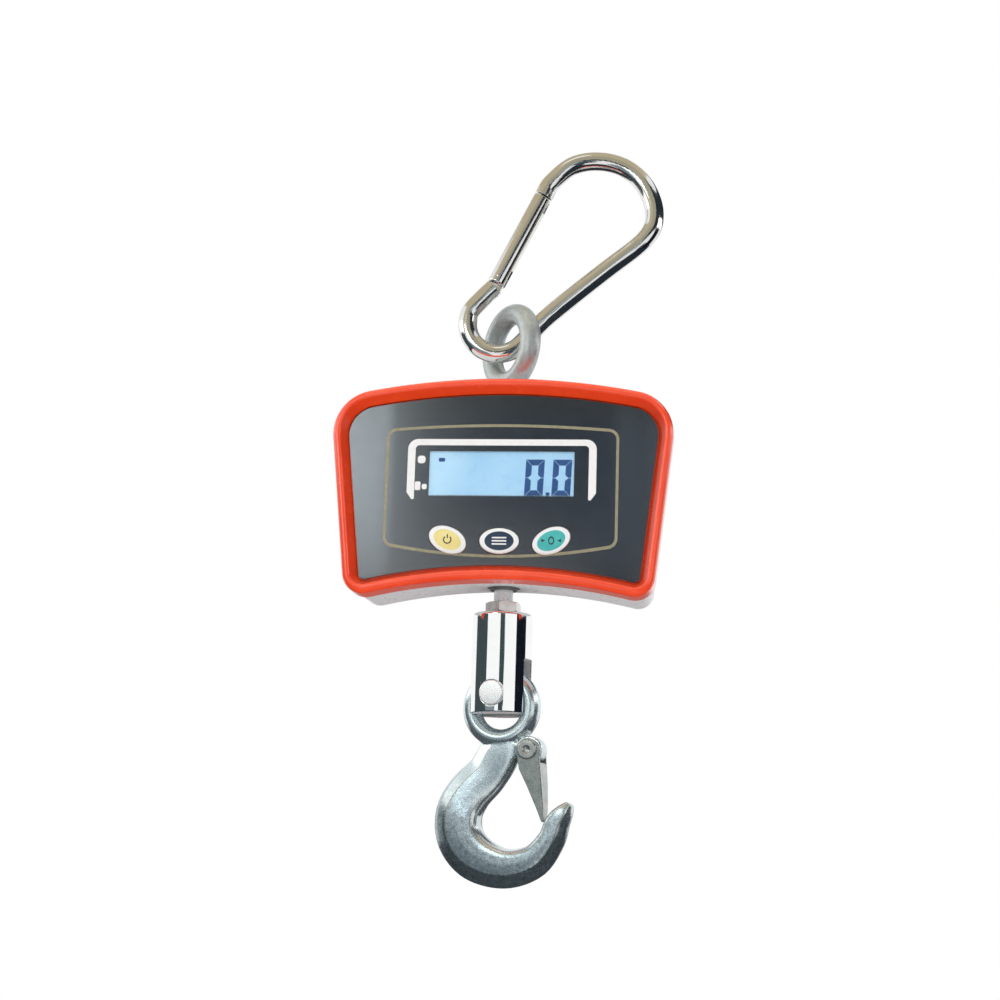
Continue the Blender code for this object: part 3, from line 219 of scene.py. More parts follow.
# Half section of the hook, outer edge to inner edge: rounded back, near flat face, sloped inner flank
FACE = [(-1.0, 0.0), (-0.985, 0.28), (-0.94, 0.56), (-0.86, 0.78), (-0.74, 0.90), (-0.55, 0.96), (-0.15, 1.0),
        (0.14, 0.995), (0.38, 0.97), (0.46, 0.91), (0.62, 0.74), (0.80, 0.54), (0.93, 0.33), (0.985, 0.16)]
SECTION = FACE + [(1.0, 0.0)] + [(c, -d) for c, d in reversed(FACE[1:])]

# Places on the hook lightened partly as worn spots and partly as painted highlight: across, up, and how far
# out the lightening is full and gone
HOOK_WORN_AND_LIT = ((5.3, -134.0, 13.6, 16.4), (30.6, -128.2, 3.0, 9.0))

# Edge of the latch below its rivet, from the hook's neck
LATCH_EDGE = ((9.6, -12.55), (12.9, -19.35), (16.9, -28.55), (18.6, -32.95), (19.2, -33.15), (19.6, -28.55),
              (19.0, -19.05))


def hook_point(u, v):
    """Point in the hook's own plane."""
    return HOOK_X * u + UP * v


# Mesh helpers

def placed(name, data):
    """New object in the scene, at the origin."""
    obj = bpy.data.objects.new(name, data)
    bpy.context.scene.collection.objects.link(obj)
    return obj


def mesh_from(name, bm):
    """New mesh from a bmesh, which is freed."""
    mesh = bpy.data.meshes.new(name)
    bm.to_mesh(mesh)
    bm.free()
    return mesh


def read_back(obj):
    """Bmesh of an object as it is evaluated; the object is then removed."""
    bpy.context.view_layer.update()
    mesh = bpy.data.meshes.new_from_object(obj.evaluated_get(bpy.context.evaluated_depsgraph_get()))
    bm = bmesh.new()
    bm.from_mesh(mesh)
    bpy.data.meshes.remove(mesh)
    bpy.data.objects.remove(obj, do_unlink=True)
    return bm


def as_object(bm):
    """Plain working object from a bmesh, which is freed."""
    bmesh.ops.recalc_face_normals(bm, faces=bm.faces)
    return placed("work", mesh_from("work", bm))


def combine(bm, other, kind):
    """Union, difference or intersection of two closed bodies."""
    first = as_object(bm)
    second = as_object(other)
    mod = first.modifiers.new("work", "BOOLEAN")
    mod.operation = kind
    mod.solver = "EXACT"
    mod.object = second
    result = read_back(first)
    bpy.data.objects.remove(second, do_unlink=True)
    bmesh.ops.dissolve_limit(result, angle_limit=math.radians(0.5), verts=result.verts, edges=result.edges)
    return result


def less(bm, *cuts):
    """Body after cuts, made one after the other."""
    for cut in cuts:
        bm = combine(bm, cut, "DIFFERENCE")
    return bm


def joined(parts):
    """Several bodies in one bmesh."""
    whole = bmesh.new()
    for part in parts:
        bmesh.ops.recalc_face_normals(part, faces=part.faces)
        mesh = mesh_from("work", part)
        whole.from_mesh(mesh)
        bpy.data.meshes.remove(mesh)
    return whole


def fused(parts, voxel, rounds):
    """Bodies grown into one with soft joins, as a casting or forging has."""
    obj = as_object(joined(parts))
    mod = obj.modifiers.new("work", "REMESH")
    mod.mode = "VOXEL"
    mod.voxel_size = voxel
    bm = read_back(obj)
    for _ in range(rounds):
        bmesh.ops.smooth_vert(bm, verts=bm.verts, factor=0.5, use_axis_x=True, use_axis_y=True,
                              use_axis_z=True)
    return bm


def round_edges(bm, width, segments=3, over=30.0):
    """Round every edge that turns by more than an angle."""
    limit = math.radians(over)
    sharp = [e for e in bm.edges if len(e.link_faces) == 2 and e.calc_face_angle(0.0) > limit]
    bmesh.ops.bevel(bm, geom=sharp, offset=width, offset_type="OFFSET", segments=segments, profile=0.5,
                    affect="EDGES", clamp_overlap=True, material=-1)
    return bm


def turned(profile, origin=ZERO, axis=UP, steps=72, ring=False):
    """Body of revolution from (radius, height) pairs; a solid starts and ends at radius 0."""
    bm = bmesh.new()
    side = axis.orthogonal().normalized()
    line = [bm.verts.new(origin + axis * h + side * r) for r, h in profile]
    edges = [bm.edges.new(pair) for pair in zip(line, line[1:])]
    if ring:
        edges.append(bm.edges.new((line[-1], line[0])))
    bmesh.ops.spin(bm, geom=line + edges, cent=origin, axis=axis, dvec=ZERO, angle=2.0 * math.pi,
                   steps=steps, use_merge=True, use_duplicate=False)
    bmesh.ops.remove_doubles(bm, verts=bm.verts, dist=MERGE)
    return bm


def rod(radius, origin, axis, h0, h1, steps=48):
    """Plain round bar between two heights, for cuts and joins."""
    return turned([(0.0, h0), (radius, h0), (radius, h1), (0.0, h1)], origin, axis, steps)


def brick(x0, x1, y0, y1, z0, z1):
    """Plain box, for cuts and joins."""
    bm = bmesh.new()
    place = Matrix.Translation(((x0 + x1) / 2.0, (y0 + y1) / 2.0, (z0 + z1) / 2.0))
    size = Matrix.Diagonal((x1 - x0, y1 - y0, z1 - z0, 1.0))
    bmesh.ops.create_cube(bm, size=1.0, matrix=place @ size)
    return bm


def lofted(loops):
    """Closed body through equal loops, capped at both ends."""
    bm = bmesh.new()
    rings = []
    for loop in loops:
        verts = [bm.verts.new(p) for p in loop]
        rings.append([bm.edges.new((verts[i - 1], verts[i])) for i in range(len(verts))])
    for first, second in zip(rings, rings[1:]):
        bmesh.ops.bridge_loops(bm, edges=first + second)
    for ring in (rings[0], rings[-1]):
        bmesh.ops.contextual_create(bm, geom=ring)
    return bm


def drawn(loops, cyclic=True, **shape):
    """Bmesh of a drawn curve; flat loops are filled, open lines become round bars."""
    data = bpy.data.curves.new("work", "CURVE")
    data.dimensions = "2D" if cyclic else "3D"
    for loop in loops:
        spline = data.splines.new("POLY")
        spline.points.add(len(loop) - 1)
        for point, place in zip(spline.points, loop):
            point.co = (*place, 0.0, 1.0) if cyclic else (*place, 1.0)
        spline.use_cyclic_u = cyclic
    for key, value in shape.items():
        setattr(data, key, value)
    bm = read_back(placed("work", data))
    bpy.data.curves.remove(data)
    bmesh.ops.remove_doubles(bm, verts=bm.verts, dist=MERGE)
    return bm


def plate(loops, y0, y1, edge, across=ACROSS, segments=2):
    """Flat piece with rounded edges from outlines given across and up, holes among them."""
    half = abs(y1 - y0) / 2.0
    bm = drawn(loops, fill_mode="BOTH", extrude=half - edge, bevel_depth=edge, bevel_resolution=segments,
               offset=-edge)
    deep = UP.cross(across)
    turn = Matrix((across, UP, -deep)).transposed().to_4x4()
    bmesh.ops.transform(bm, matrix=Matrix.Translation(deep * ((y0 + y1) / 2.0)) @ turn, verts=bm.verts)
    return bm


def arc(cx, cy, radius, a0, a1, steps, squeeze=1.0):
    """Points on part of a circle, angles in degrees."""
    pts = []
    for i in range(steps + 1):
        a = math.radians(a0 + (a1 - a0) * i / steps)
        pts.append((cx + radius * math.cos(a), cy + radius * squeeze * math.sin(a)))
    return pts


def rolled(inset, y, width, drop, steps):
    """Rows of inset and depth over a quarter round, from its side to its crest at y."""
    turns = [math.radians(90.0 * k / steps) for k in range(steps + 1)]
    return [(inset + width * (1.0 - math.cos(a)), y + drop * (1.0 - math.sin(a))) for a in turns]


def rounded_box(x0, x1, z0, z1, radius, steps=8):
    """Rectangle with round corners."""
    pts = arc(x1 - radius, z1 - radius, radius, 0, 90, steps)
    pts += arc(x0 + radius, z1 - radius, radius, 90, 180, steps)
    pts += arc(x0 + radius, z0 + radius, radius, 180, 270, steps)
    pts += arc(x1 - radius, z0 + radius, radius, 270, 360, steps)
    return pts


def oval(cx, cz, a, b, tilt, steps=64):
    """Oval outline, tilt in degrees."""
    c = math.cos(math.radians(tilt))
    s = math.sin(math.radians(tilt))
    ring = [(a * u, b * v) for u, v in arc(0.0, 0.0, 1.0, 0, 360, steps)[:-1]]
    return [(cx + u * c - v * s, cz + u * s + v * c) for u, v in ring]


def smooth_line(rows, steps):
    """Curve through rows of numbers."""
    vecs = [Vector(r) for r in rows]
    vecs = [vecs[0] * 2.0 - vecs[1]] + vecs + [vecs[-1] * 2.0 - vecs[-2]]
    out = []
    for a, b, c, d in zip(vecs, vecs[1:], vecs[2:], vecs[3:]):
        for s in range(steps):
            t = s / steps
            mid = b * 2.0 + (c - a) * t + (a * 2.0 - b * 5.0 + c * 4.0 - d) * t * t
            out.append((mid + (b * 3.0 - a - c * 3.0 + d) * t ** 3) * 0.5)
    out.append(vecs[-2])
    return out


def outline(inset, y):
    """Housing outline moved inwards; the right half by formula, the left mirrored."""
    along = Vector((math.sin(SIDE_LEAN), math.cos(SIDE_LEAN)))
    inward = Vector((-math.cos(SIDE_LEAN), math.sin(SIDE_LEAN)))
    base = Vector((SIDE_X, SIDE_Z))
    top_c = Vector((0.0, TOP_Z - TOP_RADIUS))
    low_c = Vector((0.0, BOTTOM_Z - BOTTOM_RADIUS))

    def corner(radius, centre, span):
        start = base + inward * radius - centre
        half = start.dot(along)
        t = -half + math.sqrt(half * half - start.dot(start) + span * span)
        return start + along * t + centre

    upper = corner(TOP_CORNER, top_c, TOP_RADIUS - TOP_CORNER)
    lower = corner(BOTTOM_CORNER, low_c, BOTTOM_RADIUS + BOTTOM_CORNER)
    side = math.degrees(math.atan2(-inward.y, -inward.x))
    up_angle = math.degrees(math.atan2(upper.y - top_c.y, upper.x - top_c.x))
    low_angle = math.degrees(math.atan2(low_c.y - lower.y, low_c.x - lower.x))
    pts = arc(low_c.x, low_c.y, BOTTOM_RADIUS + inset, 90, 180 + low_angle, 14)
    pts += arc(lower.x, lower.y, BOTTOM_CORNER - inset, low_angle, side, 14)[1:]
    pts += arc(upper.x, upper.y, TOP_CORNER - inset, side, up_angle, 18)
    pts += arc(top_c.x, top_c.y, TOP_RADIUS - inset, up_angle, 90, 14)[1:]
    pts += [(-x, z) for x, z in reversed(pts[1:-1])]
    return [(x, y, z) for x, z in pts]


def show(name, bm, paint, body, nodes=(), sharp=40.0):
    """Put a finished body in the frame, on the CAD body that carries it."""
    bmesh.ops.remove_doubles(bm, verts=bm.verts, dist=MERGE)
    bmesh.ops.recalc_face_normals(bm, faces=bm.faces)
    bmesh.ops.transform(bm, matrix=TO_FRAME, verts=bm.verts)
    mesh = mesh_from(name, bm)
    mesh.materials.clear()
    mesh.materials.append(paint)
    mesh.shade_smooth()
    mesh.set_sharp_from_angle(angle=math.radians(sharp))
    obj = placed(name, mesh)
    even = obj.modifiers.new("even_shading", "WEIGHTED_NORMAL")
    even.keep_sharp = True
    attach(obj, body)
    if nodes:
        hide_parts(*nodes)


def finish_node(node, paint):
    """Give a frame node that stays in view its finish."""
    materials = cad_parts[node].data.materials
    materials.clear()
    materials.append(paint)


# Shader helpers

def new_material(name):
    """Material with nodes, and its node tree."""
    mat = bpy.data.materials.new(name)
    mat.use_nodes = True
    return mat, mat.node_tree


def feed(node, inputs):
    """Set a node's inputs, each a plain value or a socket to link."""
    for key, value in inputs.items():
        if isinstance(value, bpy.types.NodeSocket):
            node.id_data.links.new(value, node.inputs[key])
        else:
            node.inputs[key].default_value = value


def put(tree, kind, inputs=None, **settings):
    """New shader node with its settings and inputs."""
    node = tree.nodes.new("ShaderNode" + kind)
    for key, value in settings.items():
        setattr(node, key, value)
    feed(node, inputs or {})
    return node


def calc(kind, first, second, **settings):
    """Sum or product of two values."""
    return put(first.id_data, "Math", {0: first, 1: second}, operation=kind, **settings).outputs[0]


def ramp(value, start, end, low=0.0, high=1.0, shape="LINEAR"):
    """Value that goes from low to high while another goes from start to end."""
    ends = {"Value": value, "From Min": start, "From Max": end, "To Min": low, "To Max": high}
    return put(value.id_data, "MapRange", ends, interpolation_type=shape).outputs[0]


def noise(place, scale, detail, rough=0.5):
    """Soft noise between 0 and 1."""
    return put(place.id_data, "TexNoise", {"Vector": place, "Scale": scale, "Detail": detail,
                                           "Roughness": rough}).outputs[0]


def away(place, keep):
    """Distance from the origin, along the directions that are kept."""
    flat = put(place.id_data, "VectorMath", {0: place, 1: keep}, operation="MULTIPLY").outputs[0]
    return put(place.id_data, "VectorMath", {0: flat}, operation="LENGTH").outputs["Value"]


def effect(name, output, **inputs):
    """New node group on a place, with named numbers or directions as inputs and one number out."""
    tree = bpy.data.node_groups.new(name, "ShaderNodeTree")
    sockets = tree.interface
    sockets.new_socket("Vector", in_out="INPUT", socket_type="NodeSocketVector")
    for label, value in inputs.items():
        kind = "NodeSocketVector" if isinstance(value, tuple) else "NodeSocketFloat"
        sockets.new_socket(label, in_out="INPUT", socket_type=kind).default_value = value
    sockets.new_socket(output, in_out="OUTPUT", socket_type="NodeSocketFloat")
    return tree, tree.nodes.new("NodeGroupInput").outputs, tree.nodes.new("NodeGroupOutput").inputs[output]


def uneven_effect():
    """Soft patches between two values, for handled and moulded surfaces."""
    tree, given, made = effect("uneven", "Value", Scale=200.0, Low=0.0, High=1.0)
    soft = noise(given["Vector"], given["Scale"], 5.0, 0.6)
    tree.links.new(ramp(soft, 0.32, 0.68, given["Low"], given["High"]), made)
    return tree


def grain_effect():
    """Fine surface height from two sizes of grain."""
    tree, given, made = effect("grain", "Height", Scale=2000.0)
    fine = noise(given["Vector"], given["Scale"], 3.0)
    coarse = noise(given["Vector"], calc("MULTIPLY", given["Scale"], 0.12), 4.0)
    tree.links.new(calc("ADD", fine, coarse), made)
    return tree


def scratch_effect():
    """Thin broken rub marks along one direction."""
    tree, given, made = effect("scratch", "Mask", Stretch=(1.0, 1.0, 1.0), Amount=0.5)
    pulled = put(tree, "VectorMath", {0: given["Vector"], 1: given["Stretch"]}, operation="MULTIPLY")
    thin = ramp(noise(pulled.outputs[0], 1.0, 2.0), 0.57, 0.66)
    spots = ramp(noise(given["Vector"], 90.0, 2.0), 0.45, 0.62)
    both = calc("MULTIPLY", thin, spots)
    tree.links.new(calc("MULTIPLY", both, given["Amount"]), made)
    return tree


def edge_effect():
    """Mask of outer edges, broken up as rubbing breaks them."""
    tree, given, made = effect("edge", "Mask", Radius=0.0004, Amount=0.5)
    soft = put(tree, "Bevel", {"Radius": given["Radius"]}, samples=4).outputs[0]
    true = put(tree, "NewGeometry").outputs["Normal"]
    dot = put(tree, "VectorMath", {0: soft, 1: true}, operation="DOT_PRODUCT").outputs["Value"]
    part = ramp(noise(given["Vector"], 420.0, 4.0), 0.42, 0.62)
    both = calc("MULTIPLY", ramp(dot, 0.99, 0.86), part)
    tree.links.new(calc("MULTIPLY", both, given["Amount"]), made)
    return tree


UNEVEN = uneven_effect()
GRAIN = grain_effect()
SCRATCH = scratch_effect()
EDGE = edge_effect()


def use(group, place, **inputs):
    """Put an effect group on a place in a material."""
    return put(place.id_data, "Group", {"Vector": place, **inputs}, node_tree=group).outputs[0]


def mix(share, first, second):
    """Colour between two, each a colour or a socket."""
    colours = [c if isinstance(c, bpy.types.NodeSocket) else (*c, 1.0) for c in (first, second)]
    return put(share.id_data, "Mix", {0: share, 6: colours[0], 7: colours[1]}, data_type="RGBA").outputs[2]


def surface(name, dark, light, rough, metal=0.0, patch=220.0, grain=2500.0, depth=0.01, rub=None,
            wear=None, **plain):
    """Principled finish with patchy colour and roughness, grain, rub marks and worn edges.

    rub is (stretch, amount); wear is (colour, radius in mm, amount); depth is the grain's height in mm.
    """
    mat, tree = new_material(name)
    place = put(tree, "TexCoord").outputs["Object"]
    colour = mix(use(UNEVEN, place, Scale=patch), dark, light)
    sheen = use(UNEVEN, place, Scale=patch * 1.7, Low=rough[0], High=rough[1])
    if rub:
        sheen = calc("ADD", sheen, use(SCRATCH, place, Stretch=rub[0], Amount=rub[1]))
    if wear:
        colour = mix(use(EDGE, place, Radius=wear[1] * MM, Amount=wear[2]), colour, wear[0])
    height = use(GRAIN, place, Scale=grain)
    bump = put(tree, "Bump", {"Strength": 1.0, "Distance": depth * MM, "Height": height})
    shader = tree.nodes["Principled BSDF"]
    feed(shader, {"Base Color": colour, "Roughness": sheen, "Normal": bump.outputs[0], "Metallic": metal})
    feed(shader, {key.replace("_", " "): value for key, value in plain.items()})
    return mat


def parts_of(mat):
    """Shader of a material, and its object coordinates."""
    nodes = mat.node_tree.nodes
    return nodes["Principled BSDF"], nodes["Texture Coordinate"].outputs["Object"]


def linked(shader, key):
    """Socket that feeds one of a shader's inputs."""
    return shader.inputs[key].links[0].from_socket


def tint(shader, share, colour):
    """Mix a colour into a shader's own by a share."""
    feed(shader, {"Base Color": mix(share, linked(shader, "Base Color"), colour)})


def coordinate(place, axis):
    """One coordinate of a place: 0 across, 2 up."""
    return put(place.id_data, "SeparateXYZ", {0: place}).outputs[axis]


def seen_from(place, centre, turn, size):
    """Place measured from a centre given in working millimetres, turned and scaled."""
    inputs = {"Vector": place, "Location": TO_FRAME @ centre, "Rotation": turn, "Scale": size}
    return put(place.id_data, "Mapping", inputs, vector_type="TEXTURE").outputs[0]


# Finishes

def steel(name, dark, light, rough, depth=0.006, metal=1.0):
    """Plain metal of fittings and fasteners."""
    return surface(name, dark, light, rough, metal, patch=300.0, grain=2400.0, depth=depth)


def moulded(name, dark, light, rough, depth=0.01):
    """Plain dull plastic or rubber."""
    return surface(name, dark, light, rough, patch=260.0, grain=3200.0, depth=depth)


def ink(name, dark, light, metal=0.0):
    """Dry print."""
    return surface(name, dark, light, (0.42, 0.55), metal, patch=500.0, grain=5000.0, depth=0.003)


chrome = surface("chrome_bar", (0.74, 0.74, 0.73), (0.80, 0.80, 0.78), (0.09, 0.15), metal=1.0, patch=160.0,
                 grain=900.0, depth=0.0004, rub=((2600.0, 2600.0, 240.0), 0.10))
cast_grey = surface("cast_eye", (0.45, 0.50, 0.50), (0.57, 0.62, 0.62), (0.38, 0.48), metal=0.75,
                    patch=700.0, grain=2600.0, depth=0.02)
bright_steel = steel("bright_steel", (0.62, 0.62, 0.60), (0.74, 0.74, 0.72), (0.16, 0.30))
zinc_plate = steel("zinc_plate", (0.84, 0.91, 0.93), (0.91, 0.96, 0.97), (0.24, 0.34), 0.003, 0.3)
pin_bright = surface("pin_bright", (0.84, 0.86, 0.86), (0.92, 0.93, 0.92), (0.20, 0.32), metal=0.6,
                     patch=260.0, grain=2400.0, depth=0.006)
dull_steel = steel("dull_steel", (0.30, 0.30, 0.31), (0.42, 0.42, 0.42), (0.3, 0.45), 0.01)
rubber = moulded("black_rubber", (0.016, 0.016, 0.018), (0.03, 0.03, 0.032), (0.6, 0.8), 0.02)
# Stud bush grey, kept dark as painted shade round the top of the stud; partly the bush's own colour
bush_painted_shade = moulded("grey_bush_painted_shade", (0.10, 0.10, 0.10), (0.15, 0.15, 0.15), (0.36, 0.5))
bush_black = moulded("black_switch", (0.02, 0.02, 0.022), (0.035, 0.035, 0.038), (0.38, 0.52))
red_plastic = surface("red_plastic", (0.84, 0.054, 0.010), (0.90, 0.068, 0.014), (0.20, 0.27), patch=90.0,
                      grain=1500.0, depth=0.003, rub=((300.0, 3000.0, 900.0), 0.06),
                      wear=((0.93, 0.13, 0.05), 0.5, 0.2), Coat_Weight=1.0, Coat_Roughness=0.2)
silver_plastic = surface("silver_plastic", (0.64, 0.65, 0.66), (0.68, 0.69, 0.70), (0.26, 0.32), patch=170.0,
                         grain=2200.0, depth=0.0015, rub=((300.0, 2600.0, 300.0), 0.04),
                         wear=((0.82, 0.82, 0.82), 0.5, 0.4), Coat_Weight=0.2, Coat_Roughness=0.15)
gold_print = ink("gold_print", (0.27, 0.25, 0.16), (0.36, 0.33, 0.22), 0.25)
white_print = ink("white_print", (0.78, 0.78, 0.76), (0.84, 0.84, 0.83))
dark_print = ink("dark_print", (0.02, 0.03, 0.03), (0.04, 0.05, 0.05))
segment_ink = surface("segment_ink", (0.012, 0.090, 0.29), (0.018, 0.115, 0.36), (0.4, 0.5), patch=700.0,
                      grain=6000.0, depth=0.001, Specular_IOR_Level=0.2)
latch_zinc = surface("stamped_zinc", (0.38, 0.41, 0.39), (0.54, 0.57, 0.54), (0.22, 0.34), metal=0.9,
                     patch=300.0, grain=2600.0, depth=0.008, rub=((2600.0, 2600.0, 220.0), 0.12))
brass = steel("pale_brass", (0.52, 0.42, 0.22), (0.66, 0.55, 0.32), (0.2, 0.34))
nickel = steel("contact_nickel", (0.62, 0.60, 0.54), (0.74, 0.72, 0.66), (0.2, 0.32))
board_green = surface("board_green", (0.006, 0.085, 0.030), (0.010, 0.15, 0.05), (0.28, 0.4), patch=900.0,
                      grain=2500.0, depth=0.01)
brushed_aluminium = surface("brushed_aluminium", (0.66, 0.67, 0.68), (0.76, 0.77, 0.78), (0.24, 0.38),
                            metal=1.0, patch=200.0, grain=2600.0, depth=0.004,
                            rub=((200.0, 3000.0, 3000.0), 0.15))
putty_white = surface("gauge_putty", (0.66, 0.66, 0.62), (0.78, 0.78, 0.74), (0.5, 0.68), patch=260.0,
                      grain=1400.0, depth=0.05)
clear_lens = surface("clear_lens", (0.90, 0.95, 0.98), (0.94, 0.97, 1.0), (0.02, 0.06), patch=90.0,
                     grain=2600.0, depth=0.0003, Transmission_Weight=1.0, IOR=1.46)


def key_paint(name, dark, light, x, z, tilt):
    """Key colour inside a white printed border that follows the oval."""
    mat = surface(name, dark, light, (0.26, 0.36), patch=260.0, grain=4200.0, depth=0.003, Coat_Weight=0.15)
    shader, place = parts_of(mat)
    half = (KEY_HALF[0] * MM, 1.0, KEY_HALF[1] * MM)
    local = seen_from(place, Vector((x, 0.0, z)), (0.0, -math.radians(tilt), 0.0), half)
    border = ramp(away(local, (1.0, 0.0, 1.0)), 0.725, 0.755)
    tint(shader, border, (0.80, 0.81, 0.80))
    return mat


def barrel_paint():
    """Bright plating on the outside of the clevis, satin machined faces in its slot and at its ends."""
    mat = surface("chrome_barrel", (0.91, 0.92, 0.92), (0.95, 0.96, 0.96), (0.03, 0.075), metal=1.0,
                  patch=160.0, grain=800.0, depth=0.0004, rub=((1800.0, 1800.0, 160.0), 0.08))
    shader, place = parts_of(mat)
    offset = put(mat.node_tree, "VectorMath", {0: place, 1: HOME}, operation="SUBTRACT").outputs[0]
    plated = ramp(away(offset, (1.0, 1.0, 0.0)), 11.4 * MM, 12.3 * MM)
    colour = mix(plated, (0.66, 0.68, 0.69), linked(shader, "Base Color"))
    feed(shader, {"Base Color": colour, "Metallic": ramp(plated, 0.0, 1.0, 0.2, 1.0)})
    return mat


def panel_paint():
    """Satin slate film that rolls off slightly at its side edges, where it catches a soft sheen."""
    mat = surface("slate_panel", (0.006, 0.014, 0.025), (0.009, 0.019, 0.032), (0.19, 0.24), patch=130.0,
                  grain=5200.0, depth=0.0006, Specular_IOR_Level=1.0, Coat_Weight=1.0, Coat_Roughness=0.18,
                  Coat_IOR=1.65)
    shader, place = parts_of(mat)
    across = coordinate(place, 0)
    rolls = [ramp(across, HOME.x + side * 70.0 * MM, HOME.x + side * 42.0 * MM, shape="SMOOTHERSTEP")
             for side in (-1.0, 1.0)]
    crown = calc("MULTIPLY", *rolls)
    tilt = put(mat.node_tree, "Bump", {"Strength": 1.0, "Distance": 1.6 * MM, "Height": crown})
    feed(linked(shader, "Normal").node, {"Normal": tilt.outputs[0]})
    return mat


def hook_paint():
    """Galvanised forging: pale crystals over dark mottling, lighter towards the ring, bright worn edges, and
    two lightened spots that are partly wear and partly a painted highlight.
    """
    mat = surface("forged_zinc", (0.24, 0.29, 0.31), (0.46, 0.54, 0.57), (0.20, 0.30), metal=0.92,
                  patch=620.0, grain=1700.0, depth=0.03, rub=((900.0, 900.0, 500.0), 0.08),
                  wear=((0.80, 0.86, 0.87), 1.0, 0.7))
    shader, place = parts_of(mat)
    crystals = put(mat.node_tree, "TexVoronoi", {"Vector": place, "Scale": 900.0}).outputs["Distance"]
    speck = ramp(crystals, 0.15, 0.6, 0.3, 0.0)
    tint(shader, speck, (0.56, 0.65, 0.68))
    # Base colour lighter upwards, towards the ring, and darker down the bowl
    lighter_upwards = ramp(coordinate(place, 2), HOME.z - 140.0 * MM, HOME.z - 98.0 * MM, 0.0, 0.8, "SMOOTHSTEP")
    tint(shader, lighter_upwards, (0.80, 0.92, 0.95))
    # Spots at the bowl's saddle and at the tip are lightened: partly worn metal, partly a painted highlight
    for u, v, near, far in HOOK_WORN_AND_LIT:
        local = seen_from(place, hook_point(u, v), (0.0, 0.0, -CLEVIS_TURN), (MM, MM, MM))
        worn_and_lit = ramp(away(local, (1.0, 0.0, 1.0)), near, far, 0.7, 0.0, "SMOOTHSTEP")
        tint(shader, worn_and_lit, (0.80, 0.87, 0.89))
    return mat


def lcd_paint():
    """Blue backlit glass with soft patches, brighter towards its left end."""
    mat = surface("lcd_blue", (0.26, 0.42, 0.55), (0.30, 0.46, 0.59), (0.25, 0.35), patch=160.0,
                  grain=3000.0, depth=0.001)
    shader, place = parts_of(mat)
    patchy = mix(use(UNEVEN, place, Scale=45.0), (0.25, 0.45, 0.61), (0.33, 0.53, 0.67))
    lamp = ramp(coordinate(place, 0), HOME.x - 8.0 * MM, HOME.x - 30.0 * MM, 0.0, 0.7, "SMOOTHSTEP")
    feed(shader, {"Emission Color": mix(lamp, patchy, (0.50, 0.68, 0.78)), "Emission Strength": 0.78})
    return mat


def cell_paint():
    """Printed sleeve of a dry cell: dark wrap with a bright band near its end."""
    mat = surface("cell_sleeve", (0.02, 0.035, 0.05), (0.03, 0.05, 0.07), (0.22, 0.32), metal=0.3,
                  patch=200.0, grain=2400.0, depth=0.002, Coat_Weight=0.4)
    shader, place = parts_of(mat)
    band = ramp(coordinate(place, 0), HOME.x + 9.0 * MM, HOME.x + 9.2 * MM)
    tint(shader, band, (0.62, 0.36, 0.16))
    return mat


barrel_chrome = barrel_paint()
slate_panel = panel_paint()
hook_zinc = hook_paint()
lcd_blue = lcd_paint()
cell_sleeve = cell_paint()


# Snap hook

def gate_plate(pairs, half, edge):
    """Flat body on the gate's middle plane from pairs along and across the gate."""
    pts = [GATE_AT + GATE_DIR * s + GATE_IN * q for s, q in pairs]
    return plate([[(p.x, p.z) for p in pts]], -half, half, edge)


def both_ends(half):
    """Profile of a pin from one of its two equal ends."""
    return [(r, -h) for r, h in reversed(half)] + half


def snap_hook():
    """Bent bar with a flat tongue at the hinge and a barbed nose, the gate and its two pins."""
    line = BAR_LINE + arc(*BEND_AT, BEND_R, -38, -206, 8) + BAR_END
    path = [(p.x, 0.0, p.y) for p in smooth_line(line, 10)]
    bar = drawn([path], cyclic=False, bevel_depth=BAR_R, bevel_resolution=9, use_fill_caps=True)
    round_edges(bar, 0.45, 3, 60.0)
    tongue = [(-8.0, -TONGUE_R), (-8.0, TONGUE_R)] + arc(0.0, 0.0, TONGUE_R, 90, -90, 16)
    nose = [(43.9, -3.0), (35.2, -3.0), (35.2, 2.2), (36.2, 2.2), (36.2, -0.7), (43.9, -0.7)]
    flats = joined([gate_plate(pairs, TONGUE_HALF, 0.15) for pairs in (tongue, nose)])
    show("snap_hook_bar", combine(bar, flats, "UNION"), chrome, "carabiner",
         ["carabiner_body"])

    profile = [(0.0, -3.6)] + arc(2.7, -2.3, 1.3, -90, 0, 6)
    profile += arc(BAR_R - 0.5, GATE_L - 0.5, 0.5, 0, 90, 4) + [(0.0, GATE_L)]
    gate = turned(profile, GATE_AT, GATE_DIR, 64)
    slots = []
    for low, top in ((-6.0, 4.6), (33.4, 42.0)):
        slots.append(gate_plate([(low, -6.0), (low, 6.0), (top, 6.0), (top, -6.0)], SLOT_HALF, 0.05))
    gate = round_edges(less(gate, joined(slots)), 0.18, 2, 50.0)
    show("snap_hook_gate", gate, chrome, "gate", ["carabiner_gate"])

    nose_at = GATE_AT + GATE_DIR * 37.7 + GATE_IN * 0.8
    for name, node, at, radius, end, body in (
            ("gate_hinge_rivet", "gate_pivot_pin", GATE_AT, 1.2, 4.1, "carabiner"),
            ("gate_nose_pin", "gate_latch_pin", nose_at, 0.9, 3.6, "gate")):
        pin = both_ends(arc(0.0, end - 0.5, radius, 0, 90, 6, 0.5 / radius))
        show(name, turned(pin, at, DEEP, 32), bright_steel, body, [node])


# Eye bolt

